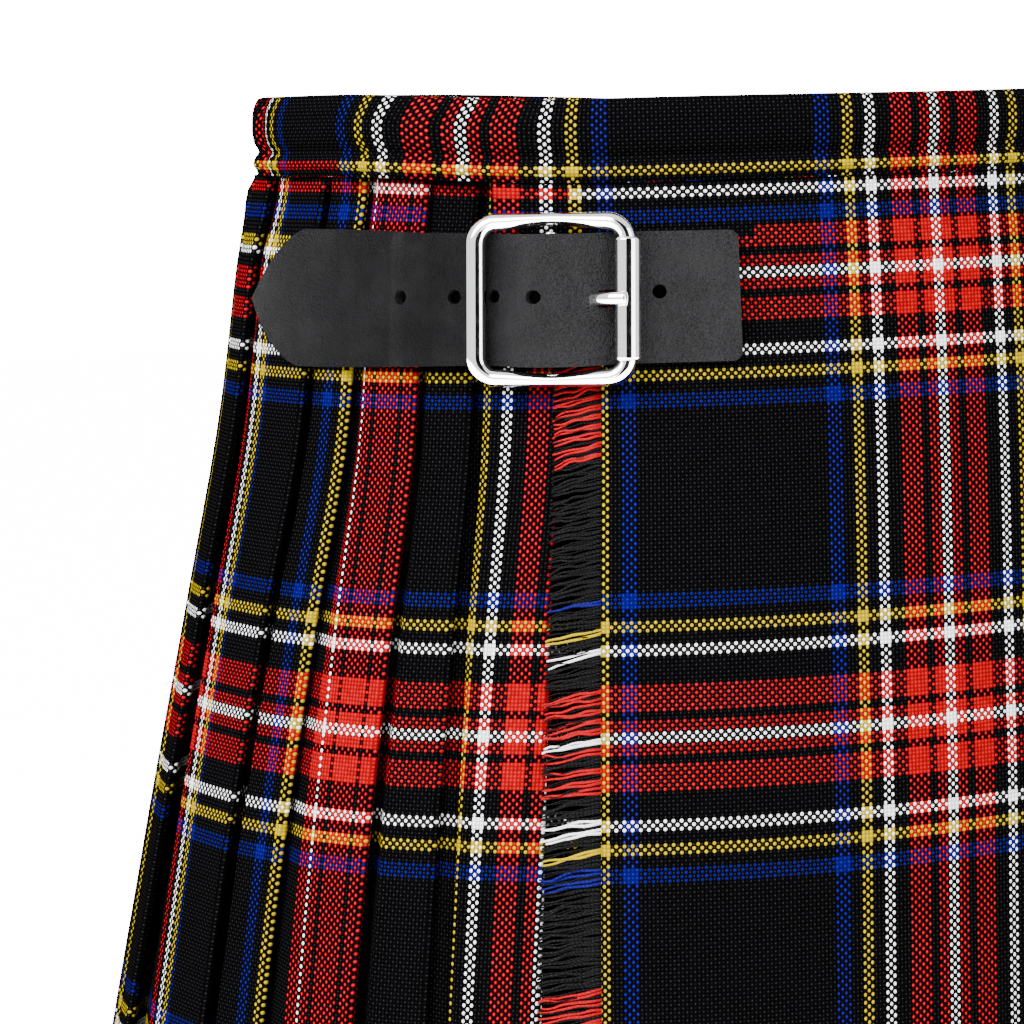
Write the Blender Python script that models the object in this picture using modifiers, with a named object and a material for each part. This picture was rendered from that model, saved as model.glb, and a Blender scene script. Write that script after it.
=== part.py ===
"""A scottish kilt, worn and hollow: tartan waistband, over apron with a fringed edge, knife pleats, under apron,
and a leather strap in a roller buckle on the right hip. Metres, +Z up, the wearer faces -Y.

The origin is the middle of the waist, level with the strap. Turns are degrees round the waist, from 0 at the
wearer's front over 90 at the right hip and 180 at the back to 270 at the left hip.
"""

import math

import bmesh
import bpy
from mathutils import Matrix, Vector

# ---- waist and hang ----
WAIST_TOP = 0.0483  # top of the waistband
BODY_TOP = 0.0276  # where the cloth meets the waistband
HEM = -0.5605  # lowest edge, at the knee
FRONT_RADIUS = 0.170  # the waist is three arcs a side: front, hip and back
HIP_RADIUS = 0.107
FRONT_TURN = 58.0  # the front arc ends and the hip arc starts
HIP_TURN = 140.0  # the hip arc ends and the back arc starts
LIFT = 0.0030  # how much higher the waist sits at the right hip
CLOTH = 0.0011  # one ply of the tartan
SEAM = 0.0003  # gap between pieces that touch
PLY = CLOTH + 0.0004  # from one folded ply to the next

# How far the cloth stands out from the waist arcs, by height: front, hip and back.
GROWTH = [
    # height, front, hip, back
    (0.0500, -0.0010, -0.0030, -0.0035),
    (0.0200, -0.0008, -0.0026, -0.0022),
    (0.0000, 0.0000, -0.0012, 0.0010),
    (-0.0300, 0.0024, 0.0026, 0.0056),
    (-0.0800, 0.0078, 0.0160, 0.0162),
    (-0.1500, 0.0150, 0.0325, 0.0314),
    (-0.2400, 0.0230, 0.0485, 0.0490),
    (-0.3800, 0.0325, 0.0625, 0.0650),
    (HEM, 0.0400, 0.0740, 0.0780),
]
# Heights of the cloth's rows, and how deep the stack of pleats is there, from fold to base.
ROWS = [
    # height, pleat depth
    (BODY_TOP, 0.0036),
    (0.0220, 0.0038),
    (0.0040, 0.0044),
    (-0.0030, 0.0046),
    (-0.0300, 0.0052),
    (-0.0800, 0.0060),
    (-0.1500, 0.0068),
    (-0.2400, 0.0074),
    (-0.3800, 0.0082),
    (HEM, 0.0090),
]

# ---- aprons and fringe ----
EDGE_TURN = 63.6  # fringed edge of the over apron
TAB_TURN = 79.0  # end of the apron's tab under the buckle
TAB_LOW = 0.0  # the tab lies above this height
TAB_EASE = 12.0  # how far from the edge the cloth's columns spread to reach the tab's end
UNDER_SEAM = 60.0  # seam between the pleats and the under apron
UNDER_EDGE = 309.0  # free left edge of the under apron
UNDER_GAP = 0.0022  # from the over apron's outer face to the under apron
APRON_HIDDEN = 8.0  # how far the over apron turns back under its left edge, in degrees
APRON_TUCK = 0.0008  # how far an apron draws in under the waistband
PLEAT_TUCK = 0.0038  # how far the pleats do
SWELL = 0.0025  # how far the pleats behind the right hip puff out
FRINGE_ROOM = 0.0029  # how much deeper the pleats lie under the apron's edge and its fringe
FRINGE_TOP = -0.0035
FRINGE = 0.0140  # length of a strand
FRINGE_DROP = 0.0020  # how far a strand's end hangs under its root
STRAND_PITCH = 0.0023
STRAND_TIP = 0.0009
STRAND_THICK = 0.0008
STRIP = 0.004  # width of the backing strip, hidden under the apron's edge

# ---- pleats ----
FIRST_FOLDS = [70.5, 82.2, 90.3, 102.1, 111.9, 134.0]  # turns of the folds on the right hip
REVEAL = 0.0205  # visible width of each further pleat at the waist
HIDDEN = 0.60  # hidden part of a pleat, as a share of what shows
LAST_FOLD = 300.0  # the over apron's folded left edge is the last fold before this turn
PLEAT_NODES = [("pleats_right", 8), ("pleats_back", 10), ("pleats_left", 99)]  # name, most pleats

# ---- waistband ----
BAND_WALL = 0.0024
BAND_END = 105.0  # folded end of the outer run
BAND_UNDER_END = 315.0  # hidden end of the inner run
BAND_STRETCH = 7.5  # degrees between cross sections, so that both runs share theirs
BAND_STEP = (302.0, 282.0)  # between these turns the band steps inward from the apron to the pleats
BAND_INSET = 0.0031  # how far the inner run lies under the outer run
BAND_RISE = 0.0017  # how far the inner run comes out again past the outer run's end
BAND_PROFILE = [
    # depth below the top, how far the face stands out
    (0.0000, -0.0006),
    (0.0018, 0.0004),
    (0.0045, 0.0011),
    (0.0085, 0.0012),
    (0.0120, 0.0006),
    (0.0144, -0.0006),
    (0.0160, 0.0004),
    (0.0177, 0.0008),
    (0.0192, -0.0001),
    (0.0203, -0.0004),
]
FRONT_DROP = 0.0008  # how much lower the band's top edge is at the front

# ---- strap ----
STRAP_WIDE = 0.0316
STRAP_FLARE = 0.07  # how much wider it is towards its point
STRAP_THICK = 0.0024
STRAP_SQUARE = 0.0444  # square end, towards the front from the buckle's middle
STRAP_SHOULDER = -0.0755  # where the point starts
STRAP_TIP = -0.1040
STRAP_HEIGHTS = [
    # towards the front, middle of the leather above the cloth
    (0.0240, 0.0015),
    (0.0184, 0.0015),
    (0.0150, 0.0023),
    (0.0110, 0.0054),
    (0.0070, 0.0080),
    (0.0030, 0.0094),
    (-0.0010, 0.0097),
    (-0.0050, 0.0088),
    (-0.0095, 0.0062),
    (-0.0135, 0.0042),
    (-0.0165, 0.0038),
    (-0.0380, 0.0038),
    (-0.0440, 0.0015),
]
STRAP_RISE = [
    # towards the front, how far the strap's middle line lies above the level
    (0.0444, 0.0001),
    (0.0188, 0.0003),
    (-0.0188, 0.0003),
    (-0.0450, 0.0000),
    (-0.0755, -0.0004),
    (-0.1040, -0.0013),
]
HOLE = 0.0030  # diameter of a punched hole
HOLES = [
    # towards the front, above the strap's middle line
    (0.0251, 0.0010),
    (-0.0029, 0.0006),
    (-0.0129, 0.0005),
    (-0.0249, 0.0003),
    (-0.0393, 0.0002),
]

# ---- buckle ----
BUCKLE_TURN = 69.8  # middle of the buckle
BUCKLE_SIDE = 0.0376  # between the middles of opposite bars
WIRE = 0.0044
BUCKLE_CORNER = 0.0050
ROLLER_HEIGHT = 0.0068  # middle of the roller above the cloth
FAR_BAR_HEIGHT = 0.0076  # middle of the bar on the other side
CENTRE_BAR = 0.0030
ROLLER_OUT = 0.0065
ROLLER_IN = 0.0052
ROLLER_LONG = 0.0296
PRONG = 0.0032
PRONG_RING = 0.0011
PRONG_PATH = [
    # towards the front and out, from the middle of the centre bar
    (0.0023, 0.0000),
    (0.0075, -0.0006),
    (0.0100, 0.0006),
    (0.0130, 0.0034),
    (0.0165, 0.0051),
    (0.0197, 0.0053),
]
TAB_PLY = 0.0008
TAB_WIDE = 0.0316
TAB_LONG = 0.0360
TAB_SLOT = 0.0044  # gap for the prong in the tab's loop

COLOURS = {
    "cloth": (0.016, 0.016, 0.022),
    "leather": (0.012, 0.012, 0.013),
    "chrome": (0.72, 0.72, 0.73),
}


# ---- curves through tables ----
def smooth(x, low, high):
    """0 at low, 1 at high, with an even start and stop; low may be above high."""
    t = min(max((x - low) / (high - low), 0.0), 1.0)
    return t * t * (3 - 2 * t)


def table(rows, at, column=0):
    """A value from a table whose first column falls, straight between its rows."""
    for (high, *a), (low, *b) in zip(rows, rows[1:]):
        if at >= low:
            break
    t = min(max((high - at) / (high - low), 0.0), 1.0)
    return a[column] + (b[column] - a[column]) * t


def even(start, stop, most):
    """Values from start to stop, no more than most apart."""
    count = max(1, math.ceil(abs(stop - start) / most))
    return [start + (stop - start) * k / count for k in range(count + 1)]


# ---- the waist and what hangs from it ----
def half_turn(turn):
    """The turn on the right half, 0 to 180, that mirrors this one."""
    turn = turn % 360
    return 360 - turn if turn > 180 else turn


def ring(turn):
    """The point of the waist's three arcs at a turn, and the direction that points outward there."""
    half = math.radians(half_turn(turn))
    first, second = math.radians(FRONT_TURN), math.radians(HIP_TURN)
    back_radius = HIP_RADIUS + (FRONT_RADIUS - HIP_RADIUS) * math.sin(first) / math.sin(second)
    depth = (
        FRONT_RADIUS * (1 - math.cos(first))
        + HIP_RADIUS * (math.cos(first) - math.cos(second))
        + back_radius * (math.cos(second) + 1)
    )
    centre, radius = Vector((0, FRONT_RADIUS - depth / 2)), FRONT_RADIUS
    for corner, after in ((first, HIP_RADIUS), (second, back_radius)):
        if half > corner:
            centre += (radius - after) * Vector((-math.sin(corner), -math.cos(corner)))
            radius = after
    out = Vector((-math.sin(half), -math.cos(half)))
    point = centre + radius * out
    if turn % 360 > 180:
        point.x, out.x = -point.x, -out.x
    return point, out


def along(turn, distance):
    """The turn that lies this far round the waist from another, backwards if the distance is negative."""
    steps = max(1, round(abs(distance) / 0.001))
    for _ in range(steps):
        degree = (ring(turn + 0.5)[0] - ring(turn - 0.5)[0]).length
        turn += distance / steps / degree
    return turn


def puffed(turn):
    """How much the pleats puff out at a turn."""
    around = turn % 360
    return smooth(around, 112, 136) * smooth(around, 230, 180)


def growth(turn, height):
    half = half_turn(turn)
    front, hip, back = (table(GROWTH, height, k) for k in range(3))
    side = front + (hip - front) * smooth(half, 0, 70)
    puff = SWELL * puffed(turn) * smooth(height, 0.0280, 0.0276)
    return side + (back - side) * smooth(half, 100, 142) + puff


def place(turn, height, depth=0.0):
    """The point of the kilt at a turn and height, this deep under its outer face."""
    point, out = ring(turn)
    flat = point + out * (growth(turn, height) - depth)
    around = turn % 360
    lift = LIFT * smooth(around, 60, 110) * smooth(around, 240, 170) * smooth(height, -0.005, 0.030)
    return Vector((flat.x, flat.y, height + lift))


# ---- Blender helpers ----
def material(name, colour, metallic=0.0, roughness=0.85):
    made = bpy.data.materials.new(name)
    made.use_nodes = True
    shader = made.node_tree.nodes["Principled BSDF"]
    shader.inputs["Base Color"].default_value = (*COLOURS[colour], 1)
    shader.inputs["Metallic"].default_value = metallic
    shader.inputs["Roughness"].default_value = roughness
    return made


def new_object(name, data, paint):
    """An object in the kilt's collection, with its material."""
    obj = bpy.data.objects.new(name, data)
    bpy.data.collections["kilt"].objects.link(obj)
    obj.data.materials.append(paint)
    return obj


def from_bmesh(name, mesh, paint):
    data = bpy.data.meshes.new(name)
    mesh.to_mesh(data)
    mesh.free()
    return new_object(name, data, paint)


def wall(obj, thick):
    """Gives a sheet its thickness, half to each side."""
    made = obj.modifiers.new("wall", "SOLIDIFY")
    made.thickness = thick
    made.offset = 0
    made.use_even_offset = True
    made.use_rim = True
    return obj


def sheet(name, columns, rows, point, paint, thick=CLOTH):
    """A wall whose middle is a grid of columns by rows, with its corners at point(column, row)."""
    mesh = bmesh.new()
    bmesh.ops.create_grid(mesh, x_segments=columns - 1, y_segments=rows - 1, size=0.5)
    for corner in mesh.verts:
        column = round((corner.co.x + 0.5) * (columns - 1))
        row = round((corner.co.y + 0.5) * (rows - 1))
        corner.co = point(column, row)
    return wall(from_bmesh(name, mesh, paint), thick)


def rod(name, points, width, paint, cyclic=False):
    """A round bar along points."""
    line = bpy.data.curves.new(name, "CURVE")
    line.dimensions = "3D"
    line.bevel_depth = width / 2
    line.bevel_resolution = 2
    line.use_fill_caps = not cyclic
    spline = line.splines.new("POLY")
    spline.points.add(len(points) - 1)
    for knot, point in zip(spline.points, points):
        knot.co = (*point, 1)
    spline.use_cyclic_u = cyclic
    return new_object(name, line, paint)


def as_mesh(line):
    """The same rod as a mesh, for a Boolean."""
    name, paint = line.name, line.data.materials[0]
    mesh = bpy.data.meshes.new_from_object(line)
    bpy.data.objects.remove(line)
    mesh.materials.clear()
    return new_object(name, mesh, paint)


def combine(obj, tool, operation):
    """Cuts a hidden tool out of an object, or joins it on."""
    tool.hide_render = True
    tool.display_type = "WIRE"
    made = obj.modifiers.new(tool.name, "BOOLEAN")
    made.operation = operation
    made.solver = "EXACT"
    made.object = tool


# ---- cloth ----
def folds():
    """Turns of all the folds, from the fringe round the back to the over apron's left edge."""
    found = list(FIRST_FOLDS)
    while along(found[-1], REVEAL) < LAST_FOLD:
        found.append(along(found[-1], REVEAL))
    return found


def tuck(height):
    """How much of the cloth's drawing in towards the waistband there is at a height."""
    return smooth(height, 0.006, BODY_TOP)


def ply_depth(turn, row, plies, free):
    """Depth of a ply's middle: so many plies deep, and a share of the room that the stack has to spare."""
    height, deep = ROWS[row]
    spare = deep - 2 * PLY
    covered = FRINGE_ROOM * (1 - smooth(turn, 70, 90))
    drawn_in = PLEAT_TUCK * tuck(height) * (1 - 0.75 * puffed(turn))
    return CLOTH / 2 + plies * PLY + free * spare + covered + drawn_in


def return_fold(fold, back):
    """A fold's outer edge, and the ply that runs back under it: turn, plies deep, share of the spare room."""
    return [(fold, 0, 0.0), (fold, 1, 0.0), (fold + HIDDEN * (back - fold), 1, 0.95)]


def pleat_length(name, edges, paint, seam):
    """The pleats between neighbouring folds, as one piece of cloth, and the ply that leads to a seam."""
    corners = []
    for fold, back, behind in reversed(list(zip(edges, edges[1:], edges[2:]))):
        corners += [
            (back + HIDDEN * (behind - back), 2, 1.0),
            (back, 2, 0.90),
            (back - 0.34 * (back - fold), 0, 0.22),
            *return_fold(fold, back),
        ]
    if seam is not None:
        fold, back = edges[0], edges[1]
        corners += [(fold + HIDDEN * (back - fold), 2, 1.0), (fold, 2, 0.95), (seam, 2, 1.0)]

    def point(column, row):
        turn, plies, free = corners[column]
        return place(turn, ROWS[row][0], ply_depth(turn, row, plies, free))

    return sheet(name, len(corners), len(ROWS), point, paint)


def pleats(paint):
    """All the pleats, in lengths; each starts under the last fold of the one behind it."""
    found = folds()
    found.append(found[-1] + APRON_HIDDEN / HIDDEN)
    start, seam = 0, UNDER_SEAM
    for name, count in PLEAT_NODES:
        stop = min(start + count, len(found) - 2)
        pleat_length(name, found[start : stop + 2], paint, seam)
        start, seam = stop, None


def over_apron(paint):
    """From the fringed edge and the tab across the front to the folded left edge and the ply under it."""
    fold = folds()[-1] - 360
    corners = [(turn, 0, 0.0) for turn in even(EDGE_TURN, fold, 4.5)[:-1]]
    corners += return_fold(fold, fold + APRON_HIDDEN / HIDDEN)

    def point(column, row):
        turn, plies, free = corners[column]
        height, deep = ROWS[row]
        if height > TAB_LOW:
            turn += (TAB_TURN - EDGE_TURN) * max(0.0, 1 - (EDGE_TURN - turn) / TAB_EASE)
        depth = CLOTH / 2 + plies * PLY + free * (deep - 2 * PLY)
        return place(turn, height, depth + APRON_TUCK * tuck(height))

    return sheet("over_apron", len(corners), len(ROWS), point, paint)


def under_apron(paint):
    """From the seam with the pleats across the front, just under the over apron, to its free left edge."""
    turns = even(along(UNDER_SEAM, -SEAM), UNDER_EDGE - 360, 6)

    def point(column, row):
        turn = turns[column]
        height = ROWS[row][0]
        near = UNDER_GAP + CLOTH / 2 + (APRON_TUCK + BAND_INSET - UNDER_GAP) * tuck(height)
        deep = ply_depth(turn, row, 2, 1.0)
        return place(turn, height, near + (deep - near) * smooth(turn, 25, 58))

    return sheet("under_apron", len(turns), len(ROWS), point, paint)


def fringe(paint):
    """Strands side by side, each a tapered tooth on the edge of a strip that lies under the apron's edge."""
    strip_turn = along(EDGE_TURN, -STRIP)
    tip_turn = along(EDGE_TURN, FRINGE)
    depth = CLOTH + SEAM + STRAND_THICK / 2
    heights = even(FRINGE_TOP, HEM + FRINGE_DROP, STRAND_PITCH)
    mesh = bmesh.new()
    inner, roots = (
        [mesh.verts.new(place(turn, height, depth)) for height in heights] for turn in (strip_turn, EDGE_TURN)
    )
    for k in range(len(heights) - 1):
        mesh.faces.new([inner[k], inner[k + 1], roots[k + 1], roots[k]])
        middle = (heights[k] + heights[k + 1]) / 2 - FRINGE_DROP
        high, low = (
            mesh.verts.new(place(tip_turn, middle + side * STRAND_TIP / 2, depth)) for side in (1, -1)
        )
        mesh.faces.new([roots[k], roots[k + 1], low, high])
    return wall(from_bmesh("fringe", mesh, paint), STRAND_THICK)


def waistband(paint):
    """One long band: its outer run on the over apron, then a step inward, then round the pleats and under
    itself across the under apron."""
    turns = even(BAND_END, BAND_UNDER_END - 720, BAND_STRETCH)
    step_start, step_stop = (turn - 360 for turn in BAND_STEP)

    def point(column, row):
        drop, stand = BAND_PROFILE[row]
        turn = turns[column]
        inset = BAND_INSET * smooth(turn, step_start, step_stop)
        inset -= BAND_RISE * smooth(turn, -253, -240) * smooth(turn, -165, -205)
        easing = FRONT_DROP * smooth(half_turn(turn), 60, 25) * (1 - drop / BAND_PROFILE[-1][0])
        return place(turn, WAIST_TOP - drop - easing, inset - stand + BAND_WALL / 2)

    return sheet("waistband", len(turns), len(BAND_PROFILE), point, paint, BAND_WALL)


# ---- strap and buckle ----
def strap_point(forward, up, out):
    """A point by its distance towards the front from the buckle's middle, its distance up, and its distance out
    from the cloth."""
    turn = along(BUCKLE_TURN, -forward)
    high, low = place(turn, STRAP_WIDE / 2), place(turn, -STRAP_WIDE / 2)
    away = ring(turn)[1].to_3d()
    up += table(STRAP_RISE, forward)
    return (high + low) / 2 + (high - low).normalized() * up + away * out


def strap(paint, prong_line):
    """Leather strap over the buckle's centre bar, with punched holes and its point towards the back."""
    stops = even(STRAP_SQUARE, STRAP_HEIGHTS[0][0], 0.007)[:-1]
    stops += [row[0] for row in STRAP_HEIGHTS]
    stops += even(STRAP_HEIGHTS[-1][0], STRAP_SHOULDER, 0.008)[1:]
    stops += even(STRAP_SHOULDER, STRAP_TIP, 0.005)[1:]

    def point(column, row):
        forward = stops[column]
        beyond = max(0.0, (STRAP_SHOULDER - forward) / (STRAP_SHOULDER - STRAP_TIP))
        wide = STRAP_WIDE * (1 + STRAP_FLARE * smooth(forward, -0.015, -0.070)) * (1 - 0.96 * beyond ** 1.6)
        return strap_point(forward, (row - 0.5) * wide, table(STRAP_HEIGHTS, forward))

    made = sheet("strap", len(stops), 2, point, paint, STRAP_THICK)
    for number, (forward, up) in enumerate(HOLES):
        ends = [strap_point(forward, up, table(STRAP_HEIGHTS, forward) + side * 0.004) for side in (-1, 1)]
        combine(made, as_mesh(rod(f"hole_{number}", ends, HOLE, paint)), "DIFFERENCE")
    around_prong = rod("prong_hole", prong_line, PRONG + 2 * SEAM + 0.0002, paint)
    combine(made, as_mesh(around_prong), "DIFFERENCE")


def buckle_frame():
    """The buckle's own axes: towards the front, up and out, from the middle of its centre bar."""
    half = BUCKLE_SIDE / 2
    near, far = strap_point(half, 0, ROLLER_HEIGHT), strap_point(-half, 0, FAR_BAR_HEIGHT)
    forward = (near - far).normalized()
    high, low = strap_point(0, half, 0), strap_point(0, -half, 0)
    out = forward.cross(high - low).normalized()
    up = out.cross(forward)
    axes = Matrix((forward, up, out)).transposed().to_4x4()
    return Matrix.Translation((near + far) / 2) @ axes


def rounded_square(side, corner, steps=4):
    """Points of a square with round corners, in the plane of the first two axes."""
    inner = side / 2 - corner
    points = []
    for quarter in range(4):
        start = quarter * math.pi / 2
        centre = Vector((math.cos(start + math.pi / 4), math.sin(start + math.pi / 4))) * inner * math.sqrt(2)
        for k in range(steps + 1):
            angle = start + math.pi / 2 * k / steps
            points.append((centre.x + corner * math.cos(angle), centre.y + corner * math.sin(angle), 0))
    return points


def roller(paint, frame):
    """A tube on the frame's front bar."""
    mesh = bmesh.new()
    inside, outside, end = ROLLER_IN / 2, ROLLER_OUT / 2, ROLLER_LONG / 2
    profile = ((inside, -end, 0), (inside, end, 0), (outside, end, 0), (outside, -end, 0))
    mesh.faces.new([mesh.verts.new(corner) for corner in profile])
    made = from_bmesh("buckle_roller", mesh, paint)
    turned = made.modifiers.new("turn", "SCREW")
    turned.axis = "Y"
    turned.steps = turned.render_steps = 20
    turned.merge_threshold = 0.00001
    turned.use_merge_vertices = True
    made.matrix_world = frame @ Matrix.Translation((BUCKLE_SIDE / 2, 0, 0))
    return made


def prong(paint, frame):
    """A ring round the centre bar and a bent pin that ends on the roller; returns the pin's line."""
    line = [frame @ Vector((forward, 0, out)) for forward, out in PRONG_PATH]
    pin = as_mesh(rod("buckle_prong", line, PRONG, paint))
    bpy.ops.mesh.primitive_torus_add(
        major_radius=CENTRE_BAR / 2 + SEAM + PRONG_RING / 2,
        minor_radius=PRONG_RING / 2,
        major_segments=20,
        minor_segments=8,
    )
    loop = bpy.context.object
    loop.name = "prong_ring"
    loop.matrix_world = frame @ Matrix.Rotation(math.pi / 2, 4, "X")
    combine(pin, loop, "UNION")
    return line


def tab(paint, frame):
    """A leather loop round the centre bar, its two plies sewn down under the strap's tail, slotted for the prong."""
    radius = CENTRE_BAR / 2 + SEAM + TAB_PLY / 2
    low, high = SEAM + TAB_PLY / 2, 2 * SEAM + 1.5 * TAB_PLY
    spots = [(-TAB_LONG, low, None), (-TAB_LONG / 2, low, None), (-0.0100, low, None)]
    spots += [(0, 0, angle) for angle in range(-110, 131, 30)]
    spots += [(-0.0100, high, None), (-TAB_LONG / 2, high, None), (-TAB_LONG, high, None)]

    def point(column, row):
        forward, out, angle = spots[column]
        up = (row - 0.5) * TAB_WIDE
        if angle is None:
            return strap_point(forward, up, out)
        turned = math.radians(angle)
        return frame @ Vector((radius * math.cos(turned), up, radius * math.sin(turned)))

    made = sheet("buckle_tab", len(spots), 2, point, paint, TAB_PLY)
    bpy.ops.mesh.primitive_cube_add(size=1)
    slot = bpy.context.object
    slot.name = "tab_slot"
    slot.matrix_world = frame @ Matrix.Diagonal((0.010, TAB_SLOT, 0.012, 1))
    combine(made, slot, "DIFFERENCE")


def main():
    for obj in list(bpy.data.objects):
        bpy.data.objects.remove(obj)
    bpy.context.scene.collection.children.link(bpy.data.collections.new("kilt"))
    tartan = material("tartan wool", "cloth")
    leather = material("black leather", "leather", roughness=0.45)
    chrome = material("bright plate", "chrome", metallic=1.0, roughness=0.12)
    pleats(tartan)
    over_apron(tartan)
    under_apron(tartan)
    fringe(tartan)
    waistband(tartan)

    frame = buckle_frame()
    strap(leather, prong(chrome, frame))
    tab(leather, frame)
    square = rod("buckle_frame", rounded_square(BUCKLE_SIDE, BUCKLE_CORNER), WIRE, chrome, cyclic=True)
    square.matrix_world = frame
    bar_end = Vector((0, (BUCKLE_SIDE - WIRE) / 2 - SEAM, 0))
    rod("buckle_centre_bar", [frame @ -bar_end, frame @ bar_end], CENTRE_BAR, chrome)
    roller(chrome, frame)


main()
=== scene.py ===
"""The looks of a Scottish kilt: fine woven cloth, loose fringe yarn, grained leather and polished plate, made
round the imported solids. Metres, +Z up, the wearer faces -Y.

The origin is the middle of the waist, level with the strap. Turns are degrees round the waist, from 0 at the
wearer's front over 90 at the right hip and 180 at the back to 270 at the left hip.
"""

import functools
import math

import bmesh
import bpy
import numpy as np
from bpy.props import FloatProperty, FloatVectorProperty, PointerProperty
from mathutils import Matrix, Vector, noise


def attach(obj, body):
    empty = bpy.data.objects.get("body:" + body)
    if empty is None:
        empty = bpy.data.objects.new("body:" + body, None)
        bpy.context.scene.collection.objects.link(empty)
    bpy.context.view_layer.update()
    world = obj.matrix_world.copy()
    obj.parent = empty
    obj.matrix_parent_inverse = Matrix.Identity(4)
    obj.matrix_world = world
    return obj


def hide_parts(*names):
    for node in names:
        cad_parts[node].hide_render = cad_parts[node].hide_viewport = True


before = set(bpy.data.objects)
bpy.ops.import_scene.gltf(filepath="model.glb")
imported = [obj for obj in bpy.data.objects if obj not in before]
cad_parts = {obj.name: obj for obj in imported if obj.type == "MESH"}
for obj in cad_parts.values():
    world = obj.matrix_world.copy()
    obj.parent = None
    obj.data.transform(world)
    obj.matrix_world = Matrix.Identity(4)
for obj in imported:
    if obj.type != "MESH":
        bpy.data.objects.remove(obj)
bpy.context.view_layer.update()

bl_info = {
    "name": "Scottish kilt",
    "version": (1, 0, 0),
    "blender": (4, 5, 0),
    "location": "View3D > Sidebar > Kilt",
    "description": "Cloth, fringe, strap, buckle and studio of a worn kilt",
    "category": "Object",
}

UP = Vector((0, 0, 1))
SAME = 0.000001  # corners this near are one

# ---- waist and hang, as the solids have them ----
WAIST_TOP = 0.0483
BODY_TOP = 0.0276
HEM = -0.5605
FRONT_RADIUS, HIP_RADIUS = 0.170, 0.107
FRONT_TURN, HIP_TURN = 58.0, 140.0  # where the front's arc ends, and the hip's
CLOTH = 0.0011
SEAM = 0.0003
PLY = CLOTH + 0.0004

# How far the cloth stands out from the waist arcs, by height: front, hip and back.
GROWTH = [
    (0.0500, -0.0010, -0.0030, -0.0035),
    (0.0200, -0.0008, -0.0026, -0.0022),
    (0.0000, 0.0000, -0.0012, 0.0010),
    (-0.0300, 0.0024, 0.0026, 0.0056),
    (-0.0800, 0.0078, 0.0160, 0.0162),
    (-0.1500, 0.0150, 0.0325, 0.0314),
    (-0.2400, 0.0230, 0.0485, 0.0490),
    (-0.3800, 0.0325, 0.0625, 0.0650),
    (HEM, 0.0400, 0.0740, 0.0780),
]
TO_HIP, TO_BACK = (0, 70), (100, 142)  # half turns over which one column goes over into the next
# How deep the stack of pleats is, from fold to base, by height.
PLEAT_DEPTH = [
    (BODY_TOP, 0.0036), (0.0220, 0.0038), (0.0040, 0.0044), (-0.0030, 0.0046), (-0.0300, 0.0052),
    (-0.0800, 0.0060), (-0.1500, 0.0068), (-0.2400, 0.0074), (-0.3800, 0.0082), (HEM, 0.0090),
]
DRAPE = 0.0007  # how far the cloth wavers in and out towards the hem
DRAPE_HEIGHTS = (-0.02, -0.30)
WAVERS = Vector((14, 14, 5))  # wavers to a metre
# How far the cloth rises behind the right hip: the turns are where that starts, is full, eases and stops.
LIFT, LIFT_TURNS, LIFT_HEIGHTS = 0.0030, (60, 110, 170, 240), (-0.005, 0.030)
# How far the pleats puff out there, just under the waistband.
SWELL, SWELL_TURNS, SWELL_HEIGHTS = 0.0025, (129, 147, 180, 230), (0.0280, BODY_TOP)

# ---- aprons and fringe ----
EDGE_TURN = 64.1
DYE_TURN = 63.6  # the apron's stripes are counted from here
TAB_TURN = 79.0
TAB_LOW = 0.0
STRAP_SHADE_TURN = 50.5  # from here on the row just over the strap is painted black, as shade along the strap's edge
TAB_RED_TURN = 69.5  # the tab's first white rows are red from here on
UNDER_SEAM = 60.0
UNDER_EDGE = 309.0
UNDER_GAP = 0.0022
UNDER_TURNS = (25, 58)  # between these the under apron sinks behind the pleats
APRON_HIDDEN = 8.0
APRON_TUCK, PLEAT_TUCK = 0.0008, 0.0038
TUCK_LOW = 0.006
FRINGE_ROOM, FRINGE_TURNS = 0.0029, (70, 90)
FRINGE_TOP = -0.0035
STRANDS = 240
STRAND_LONG, STRAND_ROOT, STRAND_STEPS = 0.0118, 0.0015, 11
STRAND_DROP = 0.0026  # how far a strand's end hangs down
STRAND_APART = 0.00042  # half the distance between its two plies
YARN, FINE_YARN, YARN_SIDES = 0.00044, 0.00022, 5  # radii, and sides to a yarn
FIBRE_STEP = 1.6  # how far on the fibres' pattern is from one step along a yarn to the next
RED_TOP, RED_LOW = -0.0392, (-0.1615, -0.1915)  # above the first and between the others the strands are red

# ---- pleats ----
FIRST_FOLDS = [70.5, 82.2, 90.3, 102.1, 111.9, 134.0]
REVEAL = 0.0205
HIDDEN = 0.60
LAST_FOLD = 300.0
PLEAT_NODES = [("pleats_right", 8), ("pleats_back", 10), ("pleats_left", 99)]
FOLD_RADIUS = PLY / 2
BULGE = FOLD_RADIUS * (math.pi / 2 - 1)  # cloth that a round fold takes up beyond its width
FACE_STEPS = (0.30, 0.55, 0.70, 0.78, 0.85, 0.91, 0.96, 1.01)  # shares of a face's width where it is shaped
DIP = (0.66, 1.03)  # a face dips under the next fold between these shares of its width
NEAR_STEP = 0.06  # a shaping step this near a change of colour is left out
NEAR_FOLD = FOLD_RADIUS * 1.3  # as is a change of colour this near the fold
RETURN_FREE, FACE_FREE = 0.95, 0.9  # shares of the stack's spare room that are over the plies under a fold
TUCK_EASED = 0.75  # share of the pleats' tuck that is left out where they puff out
LIP_TUCK, LIP_TUCK_LOW = 0.0022, 0.0225  # what they are tucked in there instead, and from what height

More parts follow.
